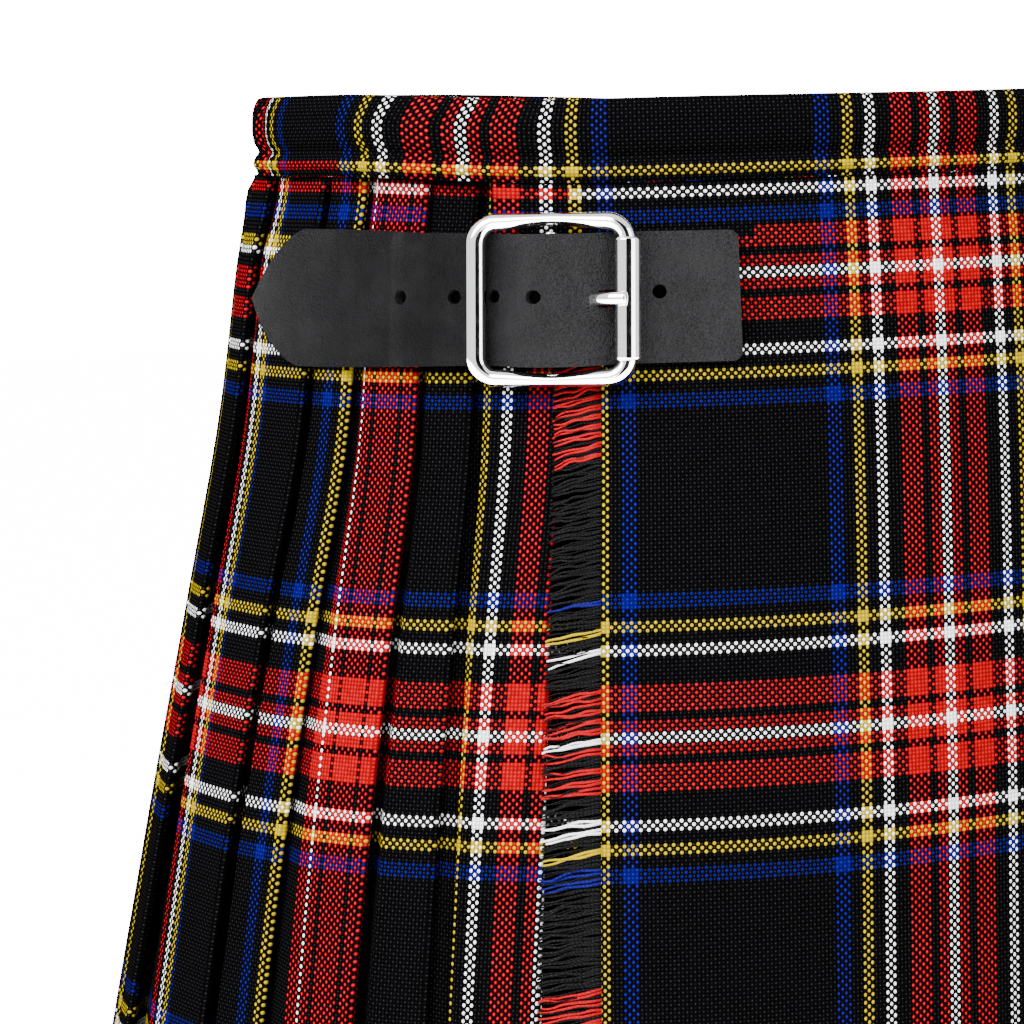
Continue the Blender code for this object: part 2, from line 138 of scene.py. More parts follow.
# ---- waistband ----
BAND_WALL = 0.0024
BAND_GAP = 0.0004  # between its inner wall and the cloth beneath
BAND_END = 105.0
BAND_UNDER_END = 315.0
BAND_STEP = (302.0, 282.0)
BAND_INSET = 0.0031
BAND_RISE, BAND_RISE_TURNS = 0.0017, (-253, -240, -205, -165)
BAND_PROFILE = [
    # depth below the top, how far the face stands out
    (0.0000, -0.0006), (0.0018, 0.0004), (0.0045, 0.0011), (0.0085, 0.0012), (0.0120, 0.0006),
    (0.0144, -0.0006), (0.0160, 0.0004), (0.0177, 0.0008), (0.0192, -0.0001), (0.0203, -0.0004),
]
BAND_TALL = BAND_PROFILE[-1][0]
FRONT_DROP, FRONT_DROP_TURNS = 0.0008, (60, 25)
BACK_DROP, BACK_DROP_TURNS = 0.0024, (185, 225, 305, 335)
LIP_ROWS = 0.65  # rows of cloth folded in under the band's lower edge
YELLOW_ROWS = (1.0, 4.2)  # rows up from that edge
LIP_RED_TURNS = (-335, -235)  # there the yellow rows are red
END_ROUND, END_FLAT = 0.7, 0.85  # degrees over which the band's ends are rounded, and how flat they get
FINE_STEPS = 600  # steps down the band's face by which its length is measured

# ---- strap ----
STRAP_WIDE = 0.0316
STRAP_FLARE, STRAP_FLARE_AT = 0.07, (-0.015, -0.070)
STRAP_THICK = 0.0024
STRAP_SQUARE = 0.0444
STRAP_SHOULDER = -0.0755
STRAP_TIP = -0.1040
STRAP_CORNER = 0.0023
STRAP_EDGE, TAB_EDGE = 0.00055, 0.0002  # rounding of the leather's edges
STRAP_BOW = 0.0003  # how far its sides bend in over the buckle
POINT_STEPS, POINT_CROWD = 14, 1.4  # corners along one side of its point, which lie closer at the tip
POINT_ROUND, POINT_BLUNT = 1.6, 0.0004  # how full the point is, and half the width of its tip
STRAP_HEIGHTS = [
    # towards the front, middle of the leather above the cloth
    (0.0240, 0.0015), (0.0184, 0.0015), (0.0150, 0.0023), (0.0110, 0.0054), (0.0070, 0.0080),
    (0.0030, 0.0094), (-0.0010, 0.0097), (-0.0050, 0.0088), (-0.0095, 0.0062), (-0.0135, 0.0042),
    (-0.0165, 0.0038), (-0.0380, 0.0038), (-0.0440, 0.0015),
]
STRAP_RISE = [
    # towards the front, how far the strap's middle line lies above the level
    (0.0444, 0.0001), (0.0188, 0.0003), (-0.0188, 0.0003), (-0.0450, 0.0000), (-0.0755, -0.0004),
    (-0.1040, -0.0013),
]
STRAP_CUTS = [  # where the leather bends: from, to, spacing
    (STRAP_SQUARE - 0.002, 0.020, 0.004), (0.019, -0.018, 0.0009), (-0.020, -0.036, 0.004),
    (-0.037, -0.046, 0.0012), (-0.048, STRAP_TIP + 0.002, 0.004),
]
HOLE = 0.0034
HOLES = [(0.0251, 0.0013), (-0.0029, 0.0009), (-0.0136, 0.0008), (-0.0243, 0.0006), (-0.0393, 0.0005)]
HOLE_FLOOR = 0.0009  # how deep under the leather's middle the painted-shade disc in a hole lies
FLOOR_CLEAR, FLOOR_THICK = 0.00004, 0.0003
PRONG_SLOT = (0.0146, 0.0115)  # ends of the slit that the prong comes through
SLOT_RADIUS = HOLE * 0.62

# ---- buckle ----
BUCKLE_TURN = 69.8
BUCKLE_SIDE = 0.0376
WIRE = 0.0044
BUCKLE_CORNER = 0.0050
BAR_SLIM = 0.26  # how much thinner the upper and lower bars are halfway
BAR_BROAD = 0.12  # how much broader the far bar is
ROLLER_HEIGHT, FAR_BAR_HEIGHT = 0.0068, 0.0076
CENTRE_BAR = 0.0030
ROLLER_OUT, ROLLER_IN, ROLLER_LONG, ROLLER_LIP = 0.0065, 0.0052, 0.0296, 0.0004
BAR_LIP = 0.0003
PRONG, PRONG_FLAT = 0.0032, 0.82  # width, and thickness as a share of it
PRONG_SQUARE = 0.8  # under 1 the prong's section is squarer than an oval
PRONG_TIP = 0.0006  # rounding of its tip
PRONG_RING = 0.0011
PRONG_PATH = [
    # towards the front, out
    (0.0023, 0.0000), (0.0075, -0.0006), (0.0100, 0.0006), (0.0130, 0.0034), (0.0165, 0.0051),
    (0.0197, 0.0053),
]
TAB_PLY = 0.0008
TAB_WIDE = 0.0316
TAB_LONG = 0.0360
TAB_SLOT, TAB_SLOT_END = 0.0044, 0.0100

# ---- the tartan's thread count ----
WARP = 0.000957  # from one thread to the next across the cloth
WEFT = 0.000925  # from one row to the next down the cloth
WARP_HALF = [  # half repeat from the white middle: colour, and the thread it ends after
    ("white", 1.5), ("red", 4.5), ("black", 6.5), ("red", 12.5), ("black", 16.5), ("white", 19.5),
    ("black", 22.5), ("yellow", 25.5), ("black", 28.5), ("blue", 32.5), ("black", 57.0),
]
WEFT_HALF = [
    ("white", 1.5), ("red", 4.5), ("black", 6.5), ("red", 13.5), ("black", 20.5), ("white", 23.5),
    ("black", 26.5), ("yellow", 29.5), ("black", 32.5), ("blue", 36.5), ("black", 60.0),
]
WARP_REPEAT, WEFT_REPEAT = 2 * WARP_HALF[-1][1], 2 * WEFT_HALF[-1][1]
WARP_DYE = {"white": 0.0, "red": 9.5, "black": 45.0, "yellow": 24.0, "blue": 30.5}  # a thread of each colour
WEFT_DYE = {"white": 0.0, "red": 10.0, "black": 48.0, "yellow": 28.0, "blue": 34.5}
ROW_HEIGHT = -0.0187  # middle of a yellow row, from which rows are counted down
CLOSE_ROW, CLOSER, CLOSER_BACK = -34, 0.035, 0.036  # above this row they lie closer by a share of a row
ROW_DYE = -93.5  # from a row's number to its place in the weft's repeat
COARSE_ROW = 0.011  # height of a row of faces below the strap
TOP_ROWS = [  # rows above the strap and behind it: first row, colour
    (-60, "black"), (-48, "white"), (-45, "black"), (-42, "blue"), (-38, "black"), (-37, "red"), (-34, "red"),
    (-31, "black"), (-29, "red"), (-26, "white"), (-23, "red"), (-20, "black"), (-18, "red"), (-12, "black"),
    (-6, "white"), (-3, "black"), (0, None),
]
# What the first pleats show: threads from its fold and their colour. None is the tartan's own order.
FACES = [
    [(22, None), (None, "black")],
    [(None, "black")],
    [
        (4, "red"), (1, "black"), (8, "red"), (1, "black"), (3, "red"), (1, "white"), (4, "red"),
        (None, "black"),
    ],
    [(None, None)],
    [
        (19, "black"), (2, "blue"), (3, "yellow"), (1, "black"), (3, "white"), (2, "black"), (3, "red"),
        (None, "black"),
    ],
    [(14, "black"), (2, "yellow"), (2, "black"), (9, "red"), (2, "black"), (None, "red")],
]
# The first pleats' rows near the waistband that differ: first row, colour. The last entry serves the rest.
PLEAT_ROWS = [
    {-48: "red", -42: "black", -37: "black"},
    {-48: "red", -42: "black", -37: "black"},
    {-37: "black"},
    {-48: "red", -37: "black", -34: "black"},
    {-48: "red", -37: "black", -34: "yellow", -31: "white", -29: "black", -26: "red"},
]
PLEAT_DYE, PLEAT_ADVANCE = 9.5, 47  # the dye's place at the first fold, and from each to the next
YELLOW_TURN = 80.1  # the first pleat's yellow stripe
FOURTH_DYE, FOURTH_ASKEW, FOURTH_HEIGHTS = 22.7, 0.8, (-0.025, 0.020)  # the fourth fold's, and how it leans
APRON_PITCH = [(0.020, 0.000935), (-0.050, 0.000957), (-0.120, 0.000975)]  # height, thread to thread
APRON_DYE, APRON_DYE_TOP = 24.5, 29.5  # the dye's place at DYE_TURN, and there near the waistband
UNDER_DYE = 40.0
# Band stripes: distance ahead of the blue stripe over the fringed edge, and place in the repeat.
BAND_STRIPES = [
    (-0.0726, -30.5), (-0.0659, -24.0), (-0.0598, -18.0), (-0.0481, -9.5), (-0.0386, -3.2), (-0.0350, 0.0),
    (-0.0311, 3.2), (-0.0239, 9.5), (-0.0133, 18.0), (-0.0068, 24.0), (0.0, 30.5), (0.0539, 83.5),
    (0.0603, 90.0), (0.0660, 96.0), (0.0742, 104.5), (0.0831, 114.0), (0.0923, 123.5), (0.1001, 132.0),
    (0.1055, 138.0),
]
BAND_BLUE_TURN, BAND_MIDDLE = 63.57, 0.040  # where that blue stripe is, and the height that it is measured at
INNER_BLUE = (-0.1045, -83.5)  # the inner run's blue stripe, measured the same way
INNER_TRUE = 0.045  # as far ahead of it the stripes keep their real pitch
INNER_WHITE, INNER_SKIP, INNER_WIDER = 12.3, 8.7, 0.2  # threads behind it: a narrow white and a wide red
BAND_LEAN, LEAN_DROP = 2.4, 0.0075  # threads that the stripes are drawn back at the top edge, from this depth
LEAN_DISTANCES = (0.005, -0.035)  # along the outer run, where that starts and is full
GROOVE_LEAN, GROOVE_DROPS, GROOVE_TURNS = 0.8, (0.0105, 0.0146), (92, 100)  # and in the groove
INNER_TURN = -200  # from here on the band is in its inner run

# ---- grain, as how many there are to a metre ----
BROAD_WEAR = 90.0
CREASES = 280.0
HOLE_SHADE_MOTTLE = 2500.0
HAZE = 400.0
FLOCK = 300.0
MOTTLE = 3.0
HANDLED_AND_LIT = (-0.030, 0.010)  # ahead of the buckle's middle: where the leather starts to be greyer, as wear and as painted highlight, and is fully

# ---- studio ----
FLOOR_RADIUS = 9.0
LAMPS = {  # place to the right of the waist, up and away from it; width and height
    "key_light": ((-1.0, 1.0, 1.1), (1.5, 1.2)),
    "fill_light": ((1.3, 0.5, 1.2), (1.4, 1.4)),
}
LAMPS_LOWER = 0.05  # how far under the waist's middle they look
CARD_ANGLES = (-12.0, 35.0)  # the dark card's left and right side, as seen from the waist
CARD_FAR, CARD_TALL = 1.3, 2.4


# ---- curves through tables ----
def smooth(x, low, high):
    """0 at low, 1 at high, with an even start and stop; low may be above high."""
    t = min(max((x - low) / (high - low), 0.0), 1.0)
    return t * t * (3 - 2 * t)


def rise_and_fall(x, start, full, easing, stop):
    """0 up to start, 1 from full to easing, and 0 again from stop on."""
    return smooth(x, start, full) * smooth(x, stop, easing)


def table(rows, at, column=0):
    """A value from a table whose first column falls, on a soft curve through its rows."""
    keys = [row[0] for row in rows]
    if at >= keys[0] or at <= keys[-1]:
        return rows[0 if at >= keys[0] else -1][column + 1]
    k = next(k for k in range(len(rows) - 1) if at >= keys[k + 1])
    values = [row[column + 1] for row in rows]
    chords = [(b - a) / (d - c) for a, b, c, d in zip(values, values[1:], keys, keys[1:])]

    def slope(j):
        if j in (0, len(chords)):
            return chords[max(j - 1, 0)]
        left, right = chords[j - 1], chords[j]
        return 0.0 if left * right <= 0 else 2 * left * right / (left + right)

    wide = keys[k + 1] - keys[k]
    t = (at - keys[k]) / wide
    start, stop = slope(k) * wide, slope(k + 1) * wide
    return (
        values[k] * (1 - 3 * t * t + 2 * t ** 3)
        + values[k + 1] * (3 * t * t - 2 * t ** 3)
        + start * (t - 2 * t * t + t ** 3)
        + stop * (t ** 3 - t * t)
    )


def even(start, stop, most):
    """Values from start to stop, no more than most apart."""
    count = max(1, math.ceil(abs(stop - start) / most - 1e-6))
    return [start + (stop - start) * k / count for k in range(count + 1)]


# ---- the waist and what hangs from it ----
def half_turn(turn):
    turn = turn % 360
    return 360 - turn if turn > 180 else turn


def ring(turn):
    """The point of the waist's three arcs at a turn, and the direction that points outward there."""
    half = math.radians(half_turn(turn))
    first, second = math.radians(FRONT_TURN), math.radians(HIP_TURN)
    back_radius = HIP_RADIUS + (FRONT_RADIUS - HIP_RADIUS) * math.sin(first) / math.sin(second)
    depth = (
        FRONT_RADIUS * (1 - math.cos(first))
        + HIP_RADIUS * (math.cos(first) - math.cos(second))
        + back_radius * (math.cos(second) + 1)
    )
    centre, radius = Vector((0, FRONT_RADIUS - depth / 2)), FRONT_RADIUS
    for corner, after in ((first, HIP_RADIUS), (second, back_radius)):
        if half > corner:
            centre += (radius - after) * Vector((-math.sin(corner), -math.cos(corner)))
            radius = after
    out = Vector((-math.sin(half), -math.cos(half)))
    point = centre + radius * out
    if turn % 360 > 180:
        point.x, out.x = -point.x, -out.x
    return point, out


def along(turn, distance):
    """The turn that lies this far round the waist from another, backwards if the distance is negative."""
    steps = max(1, round(abs(distance) / 0.001))
    for _ in range(steps):
        degree = (ring(turn + 0.5)[0] - ring(turn - 0.5)[0]).length
        turn += distance / steps / degree
    return turn


@functools.lru_cache(maxsize=None)
def stand(height):
    """How far the cloth stands out at a height: front, hip and back."""
    return tuple(table(GROWTH, height, k) for k in range(3))


def puffed(turn):
    """How much the pleats puff out at a turn, behind the right hip."""
    return rise_and_fall(turn % 360, *SWELL_TURNS)


def growth(turn, height):
    """How far the cloth stands out from the waist's arcs."""
    half = half_turn(turn)
    front, hip, back = stand(height)
    side = front + (hip - front) * smooth(half, *TO_HIP)
    swell = SWELL * puffed(turn) * smooth(height, *SWELL_HEIGHTS)
    return side + (back - side) * smooth(half, *TO_BACK) + swell


def place(turn, height, depth=0.0):
    """The point of the kilt at a turn and height, this deep under its outer face."""
    point, out = ring(turn)
    waver = noise.noise(Vector((point.x, point.y, height)) * WAVERS)
    free = DRAPE * waver * smooth(height, *DRAPE_HEIGHTS)
    flat = point + out * (growth(turn, height) + free - depth)
    lift = LIFT * rise_and_fall(turn % 360, *LIFT_TURNS) * smooth(height, *LIFT_HEIGHTS)
    return Vector((flat.x, flat.y, height + lift))


TURNS = np.arange(-420.0, 441.0, 1.0)


@functools.lru_cache(maxsize=None)
def girths(height):
    """Distances round the outer face at a height, at each of TURNS."""
    points = np.array([place(turn, height) for turn in TURNS])
    steps = np.linalg.norm(np.diff(points, axis=0), axis=1)
    return np.concatenate(([0.0], np.cumsum(steps)))


def girth(turn, height):
    """The distance round the outer face to a turn."""
    return float(np.interp(turn, TURNS, girths(height)))


def turn_at(distance, height):
    """The turn at a distance round the outer face."""
    return float(np.interp(distance, girths(height), TURNS))


# ---- materials ----
def linear(code):
    """A colour's sRGB hex value as linear light."""
    parts = [int(code[k : k + 2], 16) / 255 for k in (0, 2, 4)]
    return tuple(c / 12.92 if c <= 0.04045 else ((c + 0.055) / 1.055) ** 2.4 for c in parts)


def fill(node, sockets):
    """Fills a node's sockets: each takes a value, an output, or a node whose first live output it takes."""
    for socket, value in sockets.items():
        if isinstance(value, bpy.types.Node):
            value = next(output for output in value.outputs if output.enabled)
        if isinstance(value, bpy.types.NodeSocket):
            node.id_data.links.new(value, node.inputs[socket])
        else:
            node.inputs[socket].default_value = value


def add_node(tree, kind, sockets=None, **settings):
    """Adds a node with its settings and its sockets filled."""
    made = tree.nodes.new("ShaderNode" + kind)
    for name, value in settings.items():
        setattr(made, name, value)
    fill(made, sockets or {})
    return made


def new_material(name, **sockets):
    """A material, its add-node function, and its main shader with some sockets set by name."""
    made = bpy.data.materials.new(name)
    made.use_nodes = True
    shader = made.node_tree.nodes["Principled BSDF"]
    fill(shader, {socket.replace("_", " "): value for socket, value in sockets.items()})
    return made, functools.partial(add_node, made.node_tree), shader


def dye_ramp(add, half, place_socket, looks):
    """The colour of a thread or row by its place in the repeat, which runs to the middle and back."""
    whole = half[-1][1]
    turned = add("Math", {0: place_socket, 1: whole}, operation="PINGPONG")
    ramp = add("ValToRGB", {0: add("Math", {0: turned, 1: whole}, operation="DIVIDE")})
    bands = ramp.color_ramp
    bands.interpolation = "CONSTANT"
    start = 0.0
    for number, (dye, stop) in enumerate(half):
        band = bands.elements[number] if number < 2 else bands.elements.new(start / whole)
        band.position = start / whole
        band.color = (*getattr(looks, dye), 1)
        start = stop
    return ramp


def tartan_wool(looks):
    """Worsted wool in plain weave, dyed in the yarn and pressed: each thread shows as a small rounded float
    over the one that it crosses, matt, with painted shade where the yarns cross and a painted grey highlight
    on each float's crown, which shows most on the black."""
    made, add, shader = new_material("tartan wool", Roughness=0.9, Specular_IOR_Level=0.0)
    weave = add("SeparateXYZ", {0: add("UVMap", uv_map="weave")})
    sett = add("SeparateXYZ", {0: add("UVMap", uv_map="sett")})
    colours, parts, numbers = [], [], []
    for axis, half in ((0, WARP_HALF), (1, WEFT_HALF)):
        part = add("Math", {0: weave.outputs[axis]}, operation="FRACT")
        parts.append(part)
        numbers.append(add("Math", {0: weave.outputs[axis]}, operation="FLOOR"))
        off = add("Math", {0: 0.5, 1: part}, operation="SUBTRACT")
        middle = add("Math", {0: sett.outputs[axis], 1: off}, operation="ADD")
        colours.append(dye_ramp(add, half, middle, looks))
    warp, weft = colours
    # Warp on top where thread and row numbers are both odd or both even.
    both = add("Math", {0: numbers[0], 1: numbers[1]}, operation="ADD")
    under = add("Math", {0: both, 1: 2.0}, operation="FLOORED_MODULO")
    top = add("Mix", {0: under, 6: warp, 7: weft}, data_type="RGBA")
    below = add("Mix", {0: under, 6: weft, 7: warp}, data_type="RGBA")
    # A float is an oval lump along its own thread; between the lumps the darker of the two yarns is painted,
    # as shade in the gaps of the weave.
    spot = add("CombineXYZ", {0: parts[0], 1: parts[1], 2: 0.5})
    middle = add("VectorMath", {0: spot, 1: (0.5, 0.5, 0.5)}, operation="SUBTRACT")
    stretch = add("CombineXYZ", {
        axis: add("MapRange", {0: under, 3: 1 / looks.warp_float[axis], 4: 1 / looks.weft_float[axis]})
        for axis in (0, 1)
    })
    shaped = add("VectorMath", {0: middle, 1: stretch}, operation="MULTIPLY")
    reach = add("VectorMath", {0: shaped}, operation="LENGTH")
    cover = add("MapRange", {0: reach, 1: 0.88, 2: 1.08, 3: 1.0, 4: 0.0})
    lump = add("MapRange", {0: reach, 1: 0.0, 2: 1.2, 3: 1.0, 4: 0.0}, interpolation_type="SMOOTHSTEP")
    gap = add("Mix", {0: 1.0, 6: below, 7: top}, data_type="RGBA", blend_type="DARKEN")
    seen = add("Mix", {0: cover, 6: gap, 7: top}, data_type="RGBA")
    # Yarn takes the dye a little unevenly, float by float, and the crossings are darkened as painted shade.
    cell = add("CombineXYZ", {0: numbers[0], 1: numbers[1]})
    uneven = add("TexWhiteNoise", {0: cell}, noise_dimensions="2D")
    shade = add("MapRange", {0: uneven, 3: 0.82, 4: 1.12})
    depth = add("MapRange", {0: lump, 1: 0.0, 2: 0.6, 3: looks.gap_shade, 4: 1.0})
    tone = add("Math", {0: shade, 1: depth}, operation="MULTIPLY")
    dyed_and_shaded = add("Mix", {0: 1.0, 6: seen, 7: tone}, data_type="RGBA", blend_type="MULTIPLY")
    # A painted highlight: the crown of a warp float is made a little paler grey, and a weft float's less.
    light = add("Math", {0: lump, 1: 5.0}, operation="POWER")
    one_way = add("MapRange", {0: under, 3: 1.0, 4: 0.15})
    crown = add("Math", {0: light, 1: one_way}, operation="MULTIPLY")
    painted_highlight = add("Math", {0: crown, 1: looks.grey_light}, operation="MULTIPLY")
    final = add("Mix", {0: 1.0, 6: dyed_and_shaded, 7: painted_highlight}, data_type="RGBA", blend_type="ADD")
    bump = add("Bump", {"Strength": 0.5, "Distance": 0.0003, "Height": lump})
    fill(shader, {"Base Color": final, "Normal": bump})
    return made


def loose_wool_yarn(looks):
    """The weft's own worsted yarn, drawn out as a fringe: two plies twisted together, matt and hairy."""
    made, add, shader = new_material("loose wool yarn", Roughness=0.8, Specular_IOR_Level=0.01)
    sett = add("SeparateXYZ", {0: add("UVMap", uv_map="sett")})
    colour = dye_ramp(add, WEFT_HALF, sett.outputs[1], looks)
    fibre = add("TexNoise", {"Vector": add("UVMap", uv_map="weave"), "Scale": 2.0, "Detail": 3.0})
    shade = add("MapRange", {0: fibre, 1: 0.3, 2: 0.7, 3: 0.55, 4: 1.15})
    dyed_and_shaded = add("Mix", {0: 1.0, 6: colour, 7: shade}, data_type="RGBA", blend_type="MULTIPLY")
    # Painted highlight: the lighter parts of the fibres' pattern get a little grey added.
    painted_highlight = add("MapRange", {0: fibre, 1: 0.45, 2: 0.75, 3: 0.0, 4: looks.grey_light})
    final = add("Mix", {0: 1.0, 6: dyed_and_shaded, 7: painted_highlight}, data_type="RGBA", blend_type="ADD")
    bump = add("Bump", {"Strength": 0.6, "Distance": 0.0002, "Height": fibre})
    fill(shader, {"Base Color": final, "Normal": bump})
    return made


def black_grained_leather(looks):
    """Full-grain cowhide, dyed black and waxed: a fine pebbled grain with small soft lights, greyer towards
    the buckle and the front: partly wear, partly a painted highlight on the hump over the buckle's bar."""
    made, add, shader = new_material("black grained leather", Specular_IOR_Level=0.035)
    spot = add("TexCoord").outputs["Object"]
    pebbles = add("TexVoronoi", {"Vector": spot, "Scale": 1 / looks.grain}, feature="SMOOTH_F1")
    cells = add("TexNoise", {"Vector": spot, "Scale": 0.9 / looks.grain, "Detail": 4.0, "Roughness": 0.65})
    broad = add("TexNoise", {"Vector": spot, "Scale": BROAD_WEAR, "Detail": 3.0})
    creases = add("TexNoise", {"Vector": spot, "Scale": CREASES, "Detail": 3.0, "Distortion": 1.5})
    both = add("Math", {0: pebbles, 1: cells}, operation="ADD")
    grain = add("Math", {0: creases, 1: 1.6, 2: both}, operation="MULTIPLY_ADD")
    # The tail behind the buckle is left darkest; towards the buckle and the front the leather greys, partly
    # as wear and partly as a painted highlight on the hump.
    ahead = Vector((math.cos(math.radians(BUCKLE_TURN)), -math.sin(math.radians(BUCKLE_TURN)), 0))
    forward = add("VectorMath", {0: spot, 1: ahead}, operation="DOT_PRODUCT")
    start, full = (ring(BUCKLE_TURN)[0].to_3d().dot(ahead) + far for far in HANDLED_AND_LIT)
    handled_and_lit = add("MapRange", {0: forward, 1: start, 2: full, 3: 0.0, 4: 0.75})
    rubbed = add("MapRange", {0: broad, 1: 0.35, 2: 0.7, 3: -0.12, 4: 0.25})
    # Rubbing greys the tops of the grain and leaves the dye in its pits.
    pits = add("MapRange", {0: cells, 1: 0.38, 2: 0.62, 3: 0.3, 4: 1.7})
    wear_and_highlight = add("Math", {0: handled_and_lit, 1: pits, 2: rubbed}, operation="MULTIPLY_ADD", use_clamp=True)
    colour = add("Mix", {0: wear_and_highlight, 6: (*looks.hide, 1), 7: (*looks.worn, 1)}, data_type="RGBA")
    # The handled part has been rubbed to a low shine, and the tail is still dull from the dye.
    shine = add("MapRange", {0: handled_and_lit, 1: 0.0, 2: 0.75, 3: 0.80, 4: 0.36})
    patches = add("MapRange", {0: cells, 1: 0.3, 2: 0.7, 3: -0.08, 4: 0.08})
    rough = add("Math", {0: shine, 1: patches}, operation="ADD")
    bump = add("Bump", {"Strength": 1.0, "Distance": 0.0007, "Height": grain})
    fill(shader, {"Base Color": colour, "Roughness": rough, "Normal": bump})
    return made


def painted_hole_shade(looks):
    """Painted shade at the bottom of a punched hole: a near-black, matt, mottled disc."""
    made, add, shader = new_material("painted hole shade", Roughness=0.9, Specular_IOR_Level=0.0)
    spot = add("TexCoord").outputs["Object"]
    fibres = add("TexNoise", {"Vector": spot, "Scale": HOLE_SHADE_MOTTLE, "Detail": 2.0})
    colour = add("Mix", {0: fibres, 6: (0, 0, 0, 1), 7: (*looks.hide, 1)}, data_type="RGBA")
    fill(shader, {"Base Color": colour})
    return made


def polished_chromium_plate(looks):
    """Die-cast buckle in bright chromium plate, polished: a clear mirror with a trace of polishing haze."""
    made, add, shader = new_material("polished chromium plate", Metallic=1.0, Base_Color=(*looks.plate, 1))
    haze = add("TexNoise", {"Vector": add("TexCoord").outputs["Object"], "Scale": HAZE, "Detail": 3.0})
    fill(shader, {"Roughness": add("MapRange", {0: haze, 1: 0.35, 2: 0.65, 3: 0.05, 4: 0.10})})
    return made


def pale_studio_paper(looks):
    """Matt studio paper: pale and plain, with a trace of mottle, and lit from under it."""
    made, add, shader = new_material("pale studio paper", Roughness=0.9, Emission_Color=(1, 1, 1, 1))
    mottle = add("TexNoise", {"Vector": add("TexCoord").outputs["Object"], "Scale": MOTTLE, "Detail": 2.0})
    shade = add("MapRange", {0: mottle, 3: 0.98, 4: 1.0})
    colour = add("Mix", {0: 1.0, 6: (*looks.paper, 1), 7: shade}, data_type="RGBA", blend_type="MULTIPLY")
    fill(shader, {"Base Color": colour, "Emission Strength": bpy.context.scene.kilt_studio.glow})
    return made


def black_flocked_card(looks):
    """Black flocked card: it gives back almost no light."""
    made, add, shader = new_material("black flocked card", Roughness=1.0, Specular_IOR_Level=0.0)
    flock = add("TexNoise", {"Vector": add("TexCoord").outputs["Object"], "Scale": FLOCK})
    fill(shader, {"Base Color": add("MapRange", {0: flock, 3: 0.001, 4: 0.003})})
    return made


def finish_of(maker):
    """A finish, made once and then shared; its material has its maker's name."""
    return bpy.data.materials.get(maker.__name__.replace("_", " ")) or maker(bpy.context.scene.kilt)


# ---- mesh helpers ----
def grid(mesh, columns, rows, point):
    """Adds a grid to a mesh, its corners at point(column, row), and returns each corner's column and row."""
    made = bmesh.ops.create_grid(mesh, x_segments=columns - 1, y_segments=rows - 1, size=0.5)
    spots = {}
    for corner in made["verts"]:
        column = round((corner.co.x + 0.5) * (columns - 1))
        row = round((corner.co.y + 0.5) * (rows - 1))
        spots[corner] = (column, row)
        corner.co = point(column, row)
    return spots


def cut_away(mesh, spots, unwanted):
    """Deletes the faces for which unwanted(their columns, their rows) holds."""
    cut = [face for face in mesh.faces if unwanted(*zip(*(spots[corner] for corner in face.verts)))]
    bmesh.ops.delete(mesh, geom=cut, context="FACES")


def map_threads(mesh, spots, warp, weft):
    """Writes the two cloth maps: "weave" counts threads and rows, "sett" is their place in the dyed repeat.
    warp(face column, column, row) and weft(face row, face column, row) each give a count and a place."""
    maps = mesh.loops.layers.uv
    weave, sett = (maps.get(name) or maps.new(name) for name in ("weave", "sett"))
    for face in {face for corner in spots for face in corner.link_faces}:
        held = [spots[loop.vert] for loop in face.loops]
        first_column, first_row = (min(places) for places in zip(*held))
        for loop, (column, row) in zip(face.loops, held):
            threads, place_across = warp(first_column, column, row)
            picks, place_down = weft(first_row, first_column, row)
            loop[weave].uv = (threads, picks)
            loop[sett].uv = (place_across, place_down)


def close_up(mesh, sides=0):
    """Welds a mesh's doubles and fills its holes, of up to so many sides, or of any if that is 0."""
    bmesh.ops.remove_doubles(mesh, verts=mesh.verts, dist=SAME)
    rims = [edge for edge in mesh.edges if edge.is_boundary]
    bmesh.ops.holes_fill(mesh, edges=rims, sides=sides)
    return rims


def new_object(name, mesh, paint):
    """The mesh as an object in its finish."""
    data = bpy.data.meshes.new(name)
    mesh.to_mesh(data)
    mesh.free()
    data.materials.append(paint)
    made = bpy.data.objects.new(name, data)
    bpy.context.scene.collection.objects.link(made)
    return made


def new_piece(name, mesh, paint, node=None):
    """The mesh as a piece that rides on the root and stands for its solid."""
    bmesh.ops.recalc_face_normals(mesh, faces=mesh.faces)
    for face in mesh.faces:
        face.smooth = True
    made = new_object(name, mesh, paint)
    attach(made, "root")
    if node:
        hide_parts(node)
    return made


def thicken(obj, thick):
    """Gives a sheet its thickness, half to each side."""
    wall = obj.modifiers.new("wall", "SOLIDIFY")
    wall.thickness = thick
    wall.offset = 0
    return obj


def soften(obj, width, segments):
    """Rounds a piece's edges."""
    edge = obj.modifiers.new("edges", "BEVEL")
    edge.width = width
    edge.segments = segments
    edge.limit_method = "ANGLE"
    edge.angle_limit = math.radians(40)
    edge.harden_normals = True
    return obj


# ---- heights of the cloth's rows of corners ----
def row_height(number):
    """The height of a row; the first ones under the waistband lie closer."""
    return ROW_HEIGHT - (number - 1.5 + CLOSER * max(0.0, CLOSE_ROW - number)) * WEFT


def row_number(height):
    number = 1.5 + (ROW_HEIGHT - height) / WEFT
    return number - CLOSER_BACK * max(0.0, CLOSE_ROW - number)


def cloth_heights():
    """Every change of colour above the strap, and then close enough rows to hang in a soft curve."""
    heights = [BODY_TOP] + [row_height(first) for first, _ in TOP_ROWS[1:]]
    return heights + even(heights[-1], HEM, COARSE_ROW)[1:]


HEIGHTS = cloth_heights()


def weft_at(face_row, row, swaps):
    """Row count and place in the repeat. Above the strap each band of rows has its own colour or its swap."""
    number = row_number(HEIGHTS[row])
    if face_row >= len(TOP_ROWS) - 1:
        return number, number + ROW_DYE
    first, colour = TOP_ROWS[face_row]
    return number, WEFT_DYE[swaps.get(first, colour)]


